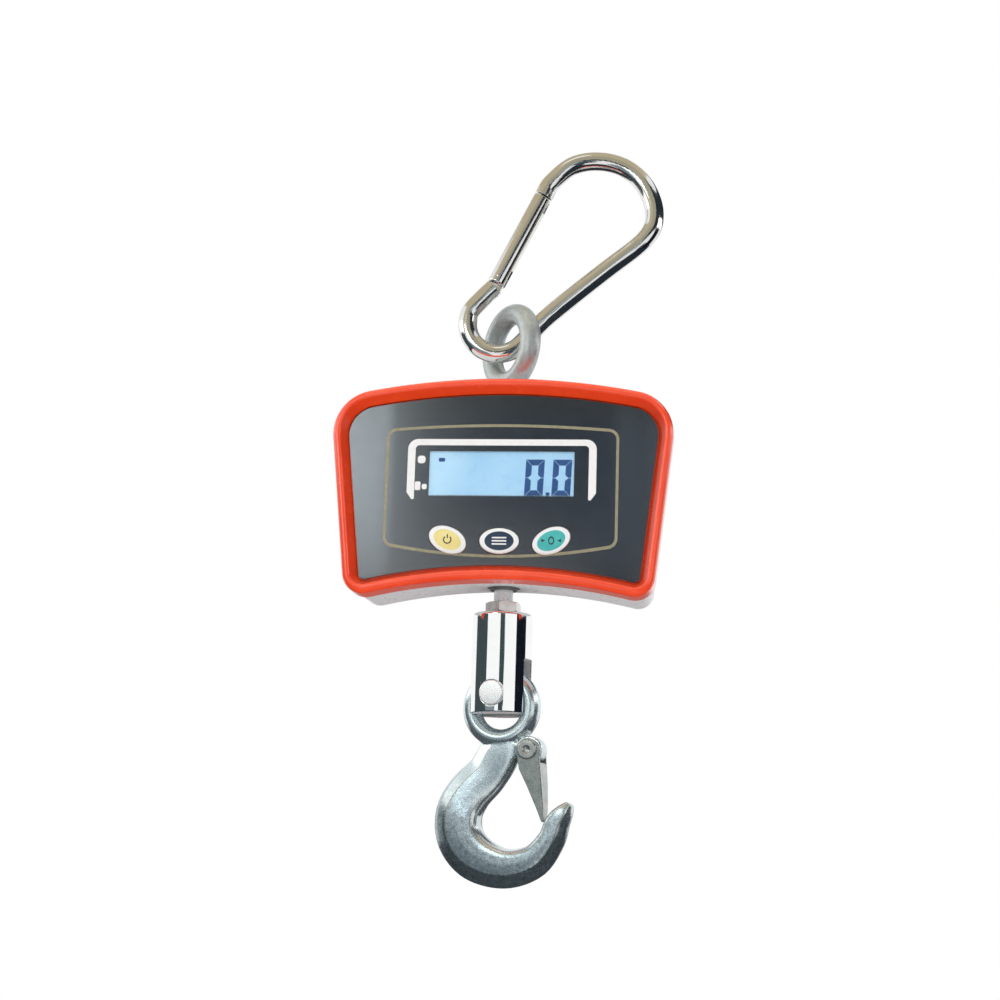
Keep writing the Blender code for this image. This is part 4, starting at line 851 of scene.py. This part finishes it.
def eye_bolt():
    """Cast ring and collar in one, over a rubber seal."""
    axis = Vector((-math.sin(EYE_TURN), -math.cos(EYE_TURN), 0.0))
    ring = turned(arc(EYE_R, 0.0, EYE_WIRE, 0, 360, 40)[:-1], UP * EYE_Z, axis, 120, ring=True)
    shank = [(0.0, 16.0), (4.0, 16.0), (4.0, 42.7), (7.0, 42.7), (7.4, 43.1), (7.4, 43.9), (6.9, 44.3),
             (5.2, 45.1), (4.4, 46.3), (3.6, 48.3), (0.0, 48.3)]
    casting = fused([ring, turned(shank)], VOXEL, 5)
    show("eye_bolt_casting", casting, cast_grey, "scale_body", ["eye_bolt"], 60.0)
    seal = [(STUD_HOLE_R, 36.0), (SEAL_R, 36.0), (SEAL_R, 41.2), (8.6, 41.2), (8.6, 41.7), (8.4, 42.15),
            (8.0, 42.35), (STUD_HOLE_R, 42.4)]
    show("eye_seal", turned(seal, ring=True), rubber, "scale_body", ["top_grommet"])


# Front bezel

def key_outlines(grow):
    """Outlines of the three keys, grown by a margin."""
    return [oval(x, z, KEY_HALF[0] + grow, KEY_HALF[1] + grow, tilt) for _, x, z, tilt in KEYS]


def window(grow):
    """Edges of the display window, grown by a margin."""
    x0, x1, z0, z1 = WINDOW
    return x0 - grow, x1 + grow, z0 - grow, z1 + grow


def bezel():
    """Rounded rim, sloped inner wall and floor with openings."""
    rows = [(WALL, FLOOR_BACK_Y), (WALL, SPLIT_Y), (SPLIT_EDGE, SPLIT_Y), (0.0, SPLIT_Y - SPLIT_EDGE)]
    rows += rolled(0.0, FRONT_Y, CREST, CREST_DROP, 10)
    for k in range(1, 7):
        a = math.radians(11.5 * k)
        rows.append((CREST + RIM_INNER * math.sin(a), FRONT_Y + RIM_INNER_DROP * (1.0 - math.cos(a))))
    rows.append((RIM_INSET, FLOOR_Y))
    body = lofted([outline(inset, y) for inset, y in rows])
    y0 = FLOOR_Y - PAST
    y1 = FLOOR_BACK_Y + PAST
    x0, x1, z0, z1 = window(0.8)
    cuts = [plate([loop], y0, y1, 0.02) for loop in key_outlines(0.4)] + [brick(x0, x1, y0, y1, z0, z1)]
    show("bezel_shell", less(body, joined(cuts)), red_plastic, "scale_body", ["front_bezel"],
         35.0)


# Printed front panel, display and keys

def printed(name, loops, paint, y=PANEL_Y, body="scale_body", thick=PRINT_T):
    """Thin print on the front of the panel or of another flat face."""
    show(name, plate(loops, y - thick, y + 0.02, 0.012, segments=1), paint, body)


def framed(inset):
    """Outline with bowed top and bottom, straight sides and round corners, moved inwards."""
    half = GOLD_HALF - inset
    radius = GOLD_CORNER - inset
    top_mid, top_side = [z - inset for z in GOLD_TOP]
    low_mid, low_side = [z + inset for z in GOLD_LOW]

    def bow(mid, side, x):
        return mid + (side - mid) * (x / half) ** 2

    slope_top = math.degrees(math.atan2(2.0 * (top_side - top_mid), half))
    slope_low = math.degrees(math.atan2(2.0 * (low_side - low_mid), half))
    inner = half - radius
    right = arc(inner, bow(low_mid, low_side, inner) + radius, radius, 270 + slope_low, 360, 8)
    right += arc(inner, bow(top_mid, top_side, inner) - radius, radius, 0, 90 + slope_top, 8)
    xs = [inner * (1.0 - k / 6.0) for k in range(1, 7)]
    right += [(x, bow(top_mid, top_side, x)) for x in xs]
    low = [(x, bow(low_mid, low_side, x)) for x in reversed(xs[:-1])]
    half_loop = [(0.0, low_mid)] + low + right
    return half_loop + [(-x, z) for x, z in reversed(half_loop[1:-1])]


def bracket():
    """Outline of the white bracket over the display: a bar with round corners and two cut legs."""
    w = BRACKET_HALF
    r = BRACKET_CORNER
    leg = w - BRACKET_LEG
    top = BRACKET_TOP - r
    under = BRACKET_TOP - BRACKET_BAR - BRACKET_INNER
    cut = [(leg, BRACKET_FOOT - 0.6), (leg + 1.0, BRACKET_FOOT - 0.8), (w, BRACKET_FOOT + 2.2)]
    pts = cut + arc(w - r, top, r, 0, 90, 8) + arc(r - w, top, r, 90, 180, 8)
    pts += [(-x, z) for x, z in reversed(cut)]
    pts += arc(BRACKET_INNER - leg, under, BRACKET_INNER, 180, 90, 6)
    return pts + arc(leg - BRACKET_INNER, under, BRACKET_INNER, 90, 0, 6)


def panel():
    """Front film with its openings and prints."""
    loops = [[(x, z) for x, _, z in outline(PANEL_INSET, 0.0)], rounded_box(*WINDOW, 0.4, 3)]
    loops += key_outlines(0.3)
    show("panel_overlay", plate(loops, PANEL_Y, PANEL_BACK_Y, 0.08), slate_panel, "scale_body",
         ["front_panel"])
    printed("gold_outline", [framed(0.0), framed(GOLD_LINE)], gold_print)
    printed("white_bracket", [bracket()], white_print)
    printed("unit_mark_upper", [rounded_box(-34.4, -31.2, 6.6, 9.8, 1.2)], white_print)
    printed("unit_mark_lower", [rounded_box(-35.2, -32.9, -4.6, -1.0, 0.6),
                                rounded_box(-32.3, -30.3, -4.2, -2.0, 0.6)], white_print)


def zero_strokes(x):
    """Outlines of the six lit strokes of a zero that leans to the right."""
    w, h = DIGIT_SIZE
    gap = STROKE_GAP
    mid = h / 2.0
    flat = [(gap, h), (w - gap, h), (w - gap - STROKE, h - STROKE), (gap + STROKE, h - STROKE)]
    upright = [(0.0, h - gap), (STROKE, h - gap - STROKE), (STROKE, mid + STROKE / 2.0),
               (STROKE / 2.0, mid + gap), (0.0, mid + gap)]
    upper = [flat, upright, [(w - u, v) for u, v in upright]]
    bars = upper + [[(u, h - v) for u, v in bar] for bar in upper]
    return [[(x + u + DIGIT_LEAN * v, DIGIT_Z + v) for u, v in bar] for bar in bars]


def display():
    """Display face, its lit strokes and the clear cover."""
    finish_node("lcd_module", lcd_blue)
    ink_y = LCD_Y - 0.03
    digits = zero_strokes(9.3) + zero_strokes(20.4)
    digits.append(rounded_box(18.1, 19.7, DIGIT_Z, DIGIT_Z + 1.6, 0.25, 3))
    digits.append(rounded_box(-25.9, -23.3, 7.6, 9.2, 0.4, 3))
    for number, loop in enumerate(digits, 1):
        stroke = plate([loop], ink_y - 0.05, ink_y + 0.02, 0.01, segments=1)
        show("lcd_stroke_%02d" % number, stroke, segment_ink, "scale_body")
    lens = plate([rounded_box(*window(-0.3), 0.5, 4)], LENS_Y, LENS_BACK_Y, 0.15)
    show("display_lens", lens, clear_lens, "scale_body", ["display_window"])


def key_cap(side, x, z, tilt, paint):
    """Domed oval cap with a holding flange and a stem behind the panel."""
    a, b = KEY_HALF
    y = FLOOR_BACK_Y + 0.3
    rows = [(2.0 - a, 2.0 - b, y + 2.0), (2.0 - a, 2.0 - b, y + 0.8), (1.4, 1.4, y + 0.8), (1.4, 1.4, y),
            (0.0, 0.0, y)]
    rows += [(grow, grow, depth) for grow, depth in rolled(0.0, KEY_Y + 0.10, -0.7, 0.3, 6)]
    rows += [(-2.4, -2.2, KEY_Y + 0.03), (-4.4, -3.6, KEY_Y)]
    loops = [[(u, depth, v) for u, v in oval(x, z, a + da, b + db, tilt)] for da, db, depth in rows]
    show("key_cap_" + side, lofted(loops), paint, "key_" + side, ["key_" + side])


def keys():
    """Coloured key caps with their printed marks."""
    colours = (((0.74, 0.61, 0.20), (0.82, 0.71, 0.30), "key_yellow"),
               ((0.012, 0.030, 0.062), (0.018, 0.042, 0.080), "key_navy"),
               ((0.045, 0.40, 0.38), (0.07, 0.48, 0.46), "key_teal"))
    for (side, x, z, tilt), (dark, light, slot) in zip(KEYS, colours):
        key_cap(side, x, z, tilt, key_paint("key_paint_" + side, dark, light, x, z, tilt))

    power = [arc(0.0, 0.0, 1.75, 130, 410, 24) + arc(0.0, 0.0, 1.25, 410, 130, 24),
             rounded_box(-0.25, 0.25, 0.5, 2.3, 0.2, 3)]
    bars = [rounded_box(-3.0, 3.0, v - 0.3, v + 0.3, 0.28, 4) for v in (-1.3, 0.0, 1.3)]
    rings = [arc(0.0, 0.0, 1.7, 0, 360, 32)[:-1], arc(0.0, 0.0, 1.1, 360, 0, 32)[:-1]]
    zero = [[(u * 0.72, v) for u, v in loop] for loop in rings]
    zero += [[(-4.0, 0.7), (-2.4, 0.0), (-4.0, -0.7)], [(4.0, 0.7), (4.0, -0.7), (2.4, 0.0)]]
    marks = (("key_mark_power", power, dark_print, "key_yellow"),
             ("key_mark_list", bars, white_print, "key_navy"),
             ("key_mark_zero", zero, dark_print, "key_teal"))
    for (side, x, z, _), (name, loops, paint, slot) in zip(KEYS, marks):
        moved = [[(x + u, z + v) for u, v in loop] for loop in loops]
        printed(name, moved, paint, KEY_Y + 0.02, "key_" + side, 0.04)


# Rear housing with battery bay, door, cells and screws

def rear_housing():
    """Shell with bosses and bay added, then the door seat, bay, bores and screw holes cut."""
    gap_y = SPLIT_Y + SPLIT_GAP
    lip = WALL + SPLIT_GAP
    rows = [(REAR_IN + REAR_WALL + 0.8, BACK_Y - BACK_THICK), (REAR_IN + REAR_WALL, REAR_BREAK_Y),
            (lip + 1.7, LIP_Y), (lip, LIP_Y), (lip, gap_y), (REAR_STEP + SPLIT_EDGE, gap_y),
            (REAR_STEP, gap_y + SPLIT_EDGE), (REAR_IN, REAR_BREAK_Y)]
    rows += rolled(REAR_IN, BACK_Y, BACK_ROUND, -BACK_DROP, 10)
    body = lofted([outline(inset, y) for inset, y in rows])
    inside = BACK_Y - 1.2
    adds = [rod(4.5, ACROSS * x + UP * z, DEEP, -14.1, inside, 32) for x, z in CASE_SPOTS]
    adds += [rod(BOSS_R, ZERO, UP, 34.4, 40.9), rod(BOSS_R, ZERO, UP, -40.9, -34.4)]
    x = DOOR_X + DOOR_WALL
    z = DOOR_Z + DOOR_WALL
    adds.append(brick(-x, x, BAY_FLOOR_Y, inside, -z, z))
    body = combine(body, joined(adds), "UNION")
    x = DOOR_X + DOOR_GAP
    z = DOOR_Z + DOOR_GAP
    cuts = [brick(-x, x, SEAT_Y, BACK_Y + PAST, -z, z),
            brick(-BAY_X, BAY_X, BAY_Y, SEAT_Y + 0.5, -BAY_Z, BAY_Z),
            rod(SEAL_R + 0.3, ZERO, UP, 32.0, 44.0), rod(SEAL_R + 0.3, ZERO, UP, -44.0, -32.0)]
    seat = BACK_Y - SCREW_DEPTH
    drill = [(0.0, -17.0), (1.9, -17.0), (1.9, seat), (3.6, seat), (3.6, BACK_Y - 0.5), (4.1, BACK_Y + 0.05),
             (4.1, BACK_Y + PAST), (0.0, BACK_Y + PAST)]
    cuts += [turned(drill, ACROSS * x + UP * z, DEEP, 40) for x, z in CASE_SPOTS]
    show("rear_shell", less(body, *cuts), silver_plastic, "scale_body", ["rear_housing"],
         30.0)


def battery_door():
    """Sliding door with three finger grips and an arrow."""
    door = plate([rounded_box(-DOOR_X, DOOR_X, -DOOR_Z, DOOR_Z, 0.8, 4)], BACK_Y, BACK_Y - 2.0, 0.3)
    grips = []
    for k in range(3):
        z = DOOR_Z - 8.0 + 2.2 * k
        grips.append(plate([rounded_box(-9.0, 9.0, z, z + 1.1, 0.5, 5)], BACK_Y - 0.6, BACK_Y + PAST, 0.05))
    tail = DOOR_Z - 10.4
    arrow = plate([[(-3.2, tail), (3.2, tail), (0.0, DOOR_Z - 14.2)]], BACK_Y - 0.3, BACK_Y + PAST, 0.05)
    door = round_edges(less(door, joined(grips), arrow), 0.12, 2, 50.0)
    show("door_panel", door, silver_plastic, "battery_cover", ["battery_door"], 30.0)


def cells():
    """Three dry cells, the middle one turned round."""
    can = [(0.0, -CELL_HALF), (4.5, -CELL_HALF)] + arc(4.7, 0.5 - CELL_HALF, 0.5, -90, 0, 4)
    can += arc(4.7, 20.75, 0.5, 0, 90, 4) + [(3.6, 21.25), (3.4, 21.0), (1.9, 21.0), (1.9, 22.1)]
    can += [(1.7, CELL_HALF), (0.0, CELL_HALF)]
    for number, way in ((1, 1.0), (2, -1.0), (3, 1.0)):
        at = Vector((0.0, CELL_BACK_Y - CELL_R, CELL_PITCH * (2 - number)))
        show("dry_cell_%d" % number, turned(can, at, ACROSS * way, 56), cell_sleeve, "scale_body",
             ["battery_%d" % number])


def case_screws():
    """Four cross head screws at the back."""
    seat = BACK_Y - SCREW_DEPTH + 0.3
    shape = [(0.0, -18.0), (1.5, -18.0), (1.5, seat), (3.2, seat), (3.2, seat + 1.6), (2.9, seat + 2.1),
             (2.2, seat + 2.35), (0.0, seat + 2.4)]
    for number, (x, z) in enumerate(CASE_SPOTS, 1):
        head = turned(shape, ACROSS * x + UP * z, DEEP, 40)
        cross = [brick(x - a, x + a, seat + 1.0, seat + 4.0, z - b, z + b)
                 for a, b in ((1.75, 0.32), (0.32, 1.75))]
        show("cross_screw_%d" % number, less(head, *cross), bright_steel, "scale_body",
             ["case_screw_%d" % number])


# Load stud with its thread, bush and nut

def hex_nut(z0, z1):
    """Chamfered six sided nut with a bored middle."""
    bm = bmesh.new()
    place = Matrix.Translation(UP * z0) @ Matrix.Rotation(NUT_TURN, 4, "Z")
    bmesh.ops.create_circle(bm, cap_ends=True, radius=NUT_CORNER, segments=6, matrix=place)
    top = bmesh.ops.extrude_face_region(bm, geom=list(bm.faces))
    raised = [v for v in top["geom"] if isinstance(v, bmesh.types.BMVert)]
    bmesh.ops.translate(bm, vec=UP * (z1 - z0), verts=raised)
    wide = NUT_CORNER + 0.05
    drum = [(0.0, z0), (6.5, z0), (wide, z0 + NUT_CHAMFER), (wide, z1 - NUT_CHAMFER), (6.5, z1), (0.0, z1)]
    nut = combine(bm, turned(drum, steps=96), "INTERSECT")
    bore = [(0.0, z0 - PAST), (4.9, z0 - 0.05), (4.45, z0 + 0.4), (4.45, z1 - 0.4), (4.9, z1 + 0.05),
            (0.0, z1 + PAST)]
    return less(nut, turned(bore, steps=64))


def stud():
    """Threaded stud, the bush where it leaves the housing, and its nut."""
    profile = [(0.0, -69.9), (3.3, -69.9)]
    z = THREAD_LOW_Z
    while z < THREAD_TOP_Z:
        profile += [(STUD_R, z), (STUD_R, z + 0.22), (THREAD_ROOT, z + 0.58), (THREAD_ROOT, z + 0.80)]
        z += THREAD_PITCH
    profile += [(STUD_R, z), (STUD_R, -16.0), (0.0, -16.0)]
    show("threaded_stud", turned(profile, steps=56), zinc_plate, "scale_body", ["load_stud"],
         25.0)
    bush = [(STUD_HOLE_R, -36.0), (SEAL_R, -36.0), (SEAL_R, -40.9), (5.7, -41.0), (5.7, -41.7),
            (5.5, -41.95), (5.2, -42.0), (STUD_HOLE_R, -42.0)]
    # The bush's dark grey is partly painted shade where the stud leaves the housing
    show("stud_bush", turned(bush, ring=True), bush_painted_shade, "scale_body", ["lower_bush"])
    show("stud_hex_nut", hex_nut(NUT_LOW_Z, NUT_TOP_Z), bright_steel, "scale_body",
         ["stud_nut"], 25.0)


# Swivel clevis with its pin

def clevis():
    """Plated barrel, bored for the stud, slotted for the hook and drilled for the cross pin."""
    at = UP * PIN_Z
    profile = [(0.0, -92.9), (11.7, -92.9), (12.2, -92.6), (12.4, -92.1)] + arc(11.2, -53.0, 1.2, 0, 90, 8)
    body = turned(profile + [(0.0, -51.8)], steps=128)
    bore = [(0.0, -49.0), (4.4, -49.0), (4.4, -61.8), (8.6, -61.8), (8.6, -71.5), (0.0, -71.5)]
    slot = plate([rounded_box(-15.0, 15.0, -96.0, -70.5, 0.6, 4)], -FORK_HALF, FORK_HALF, 0.02, HOOK_X)
    pin_bore = [(0.0, -15.0), (5.3, -15.0), (5.3, -11.4), (3.8, -11.4), (3.8, 11.4), (5.4, 11.4),
                (5.4, 15.0), (0.0, 15.0)]
    body = less(body, turned(bore, steps=64), slot, turned(pin_bore, at, PIN_AXIS, 56))
    show("clevis_barrel", round_edges(body, 0.2, 2, 40.0), barrel_chrome, "clevis",
         ["clevis"])
    pin = [(0.0, -13.6), (2.9, -13.6), (3.5, -13.3), (3.5, -12.9), (2.7, -12.9), (2.7, -11.7), (3.5, -11.7),
           (3.5, 11.7), (5.0, 11.7), (5.0, 12.4)]
    pin += arc(4.4, 12.4, 0.6, 0, 80, 5) + [(0.0, 13.1)]
    show("clevis_cross_pin", turned(pin, at, PIN_AXIS, 56), pin_bright, "clevis", ["clevis_pin"])


# Forged hook, sprung latch and its rivet

def forged_hook():
    """Tapering bar along the spine, fused with its eye, latch lug and web."""
    spine = [(HOOK_EYE[0] + u, HOOK_NECK_Z + v, w / 2.0, t / 2.0) for u, v, w, t in HOOK_SPINE]
    rows = smooth_line(spine, 8)
    loops = []
    for i, row in enumerate(rows):
        ahead = rows[min(i + 1, len(rows) - 1)] - rows[max(i - 1, 0)]
        size = math.hypot(ahead[0], ahead[1])
        side = HOOK_X * (ahead[1] / size) - UP * (ahead[0] / size)
        middle = hook_point(row[0], row[1])
        loops.append([middle + side * (row[2] * c) + PIN_AXIS * (row[3] * d) for c, d in SECTION])
    ring = [(12.55 + 3.8 * c, 4.8 * s) for c, s in arc(0.0, 0.0, 1.0, 0, 360, 40)[:-1]]
    eye = turned(ring, hook_point(*HOOK_EYE), PIN_AXIS, 96, ring=True)
    lug = rod(5.6, hook_point(*LATCH), PIN_AXIS, -4.0, 4.0)
    web = [(0.6, -110.2), (LATCH[0], -110.2), (LATCH[0], -104.2), (0.6, -104.2)]
    body = fused([lofted(loops), eye, lug, plate([web], -3.65, 3.65, 0.1, HOOK_X)], VOXEL, 3)
    show("forged_hook", body, hook_zinc, "hook", ["hook"], 60.0)


def safety_latch():
    """Bent blade, hollow behind and narrowed towards its tip, and the rivet it turns on."""
    u0, v0 = LATCH
    cheek = arc(u0, v0, 4.7, 0, 190, 24)
    cheek += [(HOOK_EYE[0] + u, HOOK_NECK_Z + v) for u, v in LATCH_EDGE]
    body = plate([cheek], -5.55, 5.55, 0.25, HOOK_X)
    low = HOOK_NECK_Z - 30.15
    top = v0 - 5.0
    hollow = [(u0 + 30.0, v0 + 30.0), (u0 - 30.0, v0 + 30.0), (u0 - 30.0, low), (HOOK_EYE[0] + 18.2, low),
              (HOOK_EYE[0] + 17.5, HOOK_NECK_Z - 19.05), (u0 + 3.5, top), (u0 + 30.0, top)]
    body = less(body, plate([hollow], -4.35, 4.35, 0.02, HOOK_X),
                rod(2.55, hook_point(u0, v0), PIN_AXIS, -8.0, 8.0))
    round_edges(body, 0.15, 2, 50.0)
    for vert in body.verts:
        drop = min(max((v0 - 7.0 - vert.co.z) / 20.0, 0.0), 1.0)
        vert.co -= PIN_AXIS * (vert.co.dot(PIN_AXIS) * 0.5 * drop)
    show("latch_blade", body, latch_zinc, "latch", ["safety_latch"], 35.0)
    head = [(2.25, 5.85), (4.0, 5.85)] + arc(3.3, 6.25, 0.7, 0, 90, 6)
    head += [(1.7, 6.95), (1.2, 6.5), (0.0, 6.35)]
    rivet = turned(both_ends(head), hook_point(u0, v0), PIN_AXIS, 48)
    show("latch_pivot_rivet", rivet, latch_zinc, "hook", ["latch_rivet"])


# Inner pieces keep their frame shapes and take a finish each
INNER = ((board_green, ("circuit_board",)),
         (bush_black, ("switch_left", "switch_middle", "switch_right")),
         (bright_steel, ("pcb_screw_1", "pcb_screw_2", "pcb_screw_3", "pcb_screw_4", "eye_lock_nut",
                         "stud_lock_nut", "swivel_nut")),
         (brushed_aluminium, ("load_cell",)),
         (putty_white, ("gauge_cover",)),
         (brass, ("thrust_washer",)),
         (nickel, ("contact_left", "contact_right")),
         (dull_steel, ("pin_clip",)))

snap_hook()
eye_bolt()
bezel()
panel()
display()
keys()
rear_housing()
battery_door()
cells()
case_screws()
stud()
clevis()
forged_hook()
safety_latch()
for inner_paint, inner_nodes in INNER:
    for inner_node in inner_nodes:
        finish_node(inner_node, inner_paint)


# Camera at the photograph's angle
TARGET = TO_FRAME @ Vector((-2.73, 0.0, -3.63))
AZIMUTH = math.radians(6.5)
ELEVATION = math.radians(-12.0)
ROLL = math.radians(1.8)
DISTANCE = 0.8
LENS = 69.3


def direction(azimuth, elevation):
    """Way out from the target."""
    return Vector((math.sin(azimuth) * math.cos(elevation), -math.cos(azimuth) * math.cos(elevation),
                   math.sin(elevation)))


back = direction(AZIMUTH, ELEVATION)
sideways = Vector((math.cos(AZIMUTH), math.sin(AZIMUTH), 0.0))
upwards = back.cross(sideways)
right = sideways * math.cos(ROLL) + upwards * math.sin(ROLL)
above = upwards * math.cos(ROLL) - sideways * math.sin(ROLL)
camera = placed("camera", bpy.data.cameras.new("camera"))
camera.data.lens = LENS
camera.data.sensor_width = 36.0
camera.data.clip_start = 0.01
aim = Matrix((right, above, back)).transposed()
camera.matrix_world = Matrix.Translation(TARGET + back * DISTANCE) @ aim.to_4x4()
bpy.context.scene.camera = camera


# Pale floor, white surroundings and soft light
WHITE = (1.0, 1.0, 1.0, 1.0)


def background_share(tree):
    """1 for rays that see the background straight, in metal or through glass."""
    path = put(tree, "LightPath").outputs
    first = calc("ADD", path["Is Camera Ray"], path["Is Glossy Ray"])
    return calc("ADD", first, path["Is Transmission Ray"], use_clamp=True)


def surroundings(ambient):
    """White world that gives less light than it shows."""
    world = bpy.data.worlds.new("surroundings")
    bpy.context.scene.world = world
    world.use_nodes = True
    tree = world.node_tree
    strength = ramp(background_share(tree), 0.0, 1.0, ambient, 1.0)
    feed(tree.nodes["Background"], {"Color": WHITE, "Strength": strength})


def floor(drop):
    """Wide pale floor well below the hanging scale."""
    bm = bmesh.new()
    place = Matrix.Translation((0.0, 0.0, CAD_BOX[0].z - drop))
    bmesh.ops.create_grid(bm, x_segments=1, y_segments=1, size=6.0, matrix=place)
    mat, tree = new_material("floor_white")
    shader = tree.nodes["Principled BSDF"]
    feed(shader, {"Base Color": (0.82, 0.82, 0.82, 1.0), "Roughness": 0.7})
    glow = put(tree, "Emission", {"Color": WHITE, "Strength": 1.12})
    share = calc("MULTIPLY", background_share(tree), 0.8)
    blend = put(tree, "MixShader", {0: share, 1: shader.outputs[0], 2: glow.outputs[0]})
    feed(tree.nodes["Material Output"], {"Surface": blend.outputs[0]})
    mesh = mesh_from("floor", bm)
    mesh.materials.append(mat)
    obj = placed("floor", mesh)


def softbox(name, turn, rise, distance, size, power):
    """Area light that no reflection shows, turned to the camera's right and raised, in degrees."""
    data = bpy.data.lights.new(name, "AREA")
    data.shape = "RECTANGLE"
    data.size, data.size_y = size
    data.energy = power
    obj = placed(name, data)
    obj.location = TARGET + direction(AZIMUTH + math.radians(turn), math.radians(rise)) * distance
    obj.rotation_euler = (TARGET - obj.location).to_track_quat("-Z", "Y").to_euler()
    obj.visible_camera = False
    obj.visible_glossy = False


def card(name, bm, colour):
    """Studio card seen only in reflections; its bmesh is in working millimetres."""
    bmesh.ops.transform(bm, matrix=TO_FRAME, verts=bm.verts)
    mat, tree = new_material(name)
    tree.nodes.remove(tree.nodes["Principled BSDF"])
    glow = put(tree, "Emission", {"Color": (*colour, 1.0), "Strength": 1.0})
    feed(tree.nodes["Material Output"], {"Surface": glow.outputs[0]})
    mesh = mesh_from(name, bm)
    mesh.materials.append(mat)
    obj = placed(name, mesh)
    obj.visible_camera = False
    obj.visible_diffuse = False
    obj.visible_transmission = False
    obj.visible_shadow = False


def standing(turns, heights, distance):
    """Upright card bent round the object, turns in degrees to the camera's right."""
    bm = bmesh.new()
    start = AZIMUTH + math.radians(turns[0])
    ends = [bm.verts.new((distance * math.sin(start), -distance * math.cos(start), z)) for z in heights]
    edge = bm.edges.new(ends)
    bmesh.ops.spin(bm, geom=ends + [edge], cent=ZERO, axis=UP, dvec=ZERO,
                   angle=math.radians(turns[1] - turns[0]), steps=12, use_merge=False, use_duplicate=False)
    return bm


def lying(x0, x1, y0, y1, z):
    """Level card."""
    bm = bmesh.new()
    place = Matrix.Translation(((x0 + x1) / 2.0, (y0 + y1) / 2.0, z))
    size = Matrix.Diagonal((x1 - x0, y1 - y0, 1.0, 1.0))
    bmesh.ops.create_grid(bm, x_segments=1, y_segments=1, size=0.5, matrix=place @ size)
    return bm


WARM = (0.56, 0.48, 0.33)
SHEEN = (3.3, 3.7, 3.9)
SOFT = (0.60, 0.70, 0.78)
BRIGHT = (1.25, 1.25, 1.2)
GLOW = (2.1, 2.0, 1.9)
MAUVE = (0.25, 0.17, 0.165)
GREY = (0.21, 0.26, 0.28)
TAN = (0.42, 0.39, 0.29)
NAVY = (0.022, 0.030, 0.040)
TEAL = (0.05, 0.07, 0.075)
BLACK = (0.006, 0.008, 0.014)
CARDS = (("warm_wall", standing, ((-56.0, -12.0), (88.0, 800.0), 700.0), WARM),
         ("warm_ceiling", lying, (-800.0, 500.0, -900.0, 500.0, 800.0), WARM),
         ("bright_ceiling", lying, (-320.0, -40.0, -420.0, -220.0, 780.0), BRIGHT),
         ("sheen_strip", standing, ((-40.0, -21.0), (80.0, 240.0), 680.0), SHEEN),
         ("right_sheen", standing, ((-3.0, 9.0), (105.0, 210.0), 680.0), SOFT),
         ("left_glow", standing, ((-112.0, -62.0), (105.0, 300.0), 690.0), GLOW),
         ("right_glow", standing, ((56.0, 112.0), (105.0, 285.0), 690.0), GLOW),
         ("mauve_back", standing, ((150.0, 210.0), (-345.0, -62.0), 700.0), MAUVE),
         ("dark_upper_right", standing, ((20.0, 112.0), (96.0, 700.0), 695.0), NAVY),
         ("dark_far_right", standing, ((112.0, 165.0), (250.0, 700.0), 695.0), NAVY),
         ("dark_before_panel", standing, ((-19.0, 20.0), (96.0, 240.0), 695.0), NAVY),
         ("tan_upper_front", standing, ((-19.0, 20.0), (240.0, 800.0), 695.0), TAN),
         ("dark_left", standing, ((-112.0, -58.0), (-500.0, 86.0), 720.0), TEAL),
         ("grey_low_left", standing, ((-58.0, -22.0), (-500.0, -34.0), 730.0), GREY),
         ("dark_right", standing, ((54.0, 100.0), (-500.0, 96.0), 720.0), BLACK),
         ("dark_middle", standing, ((-8.5, 8.5), (-330.0, 96.0), 740.0), TEAL),
         ("dark_table", lying, (-900.0, 900.0, -400.0, 700.0, -340.0), NAVY),
         ("dark_table_right", lying, (120.0, 900.0, -1200.0, -400.0, -340.0), NAVY))

surroundings(0.70)
floor(1.0)
softbox("top_light", -18.0, 64.0, 0.85, (0.6, 0.45), 5.0)
softbox("low_fill", 8.0, -62.0, 0.9, (0.9, 0.5), 4.2)
for card_name, card_shape, card_size, card_colour in CARDS:
    card(card_name, card_shape(*card_size), card_colour)
bpy.context.scene.view_settings.view_transform = "Standard"
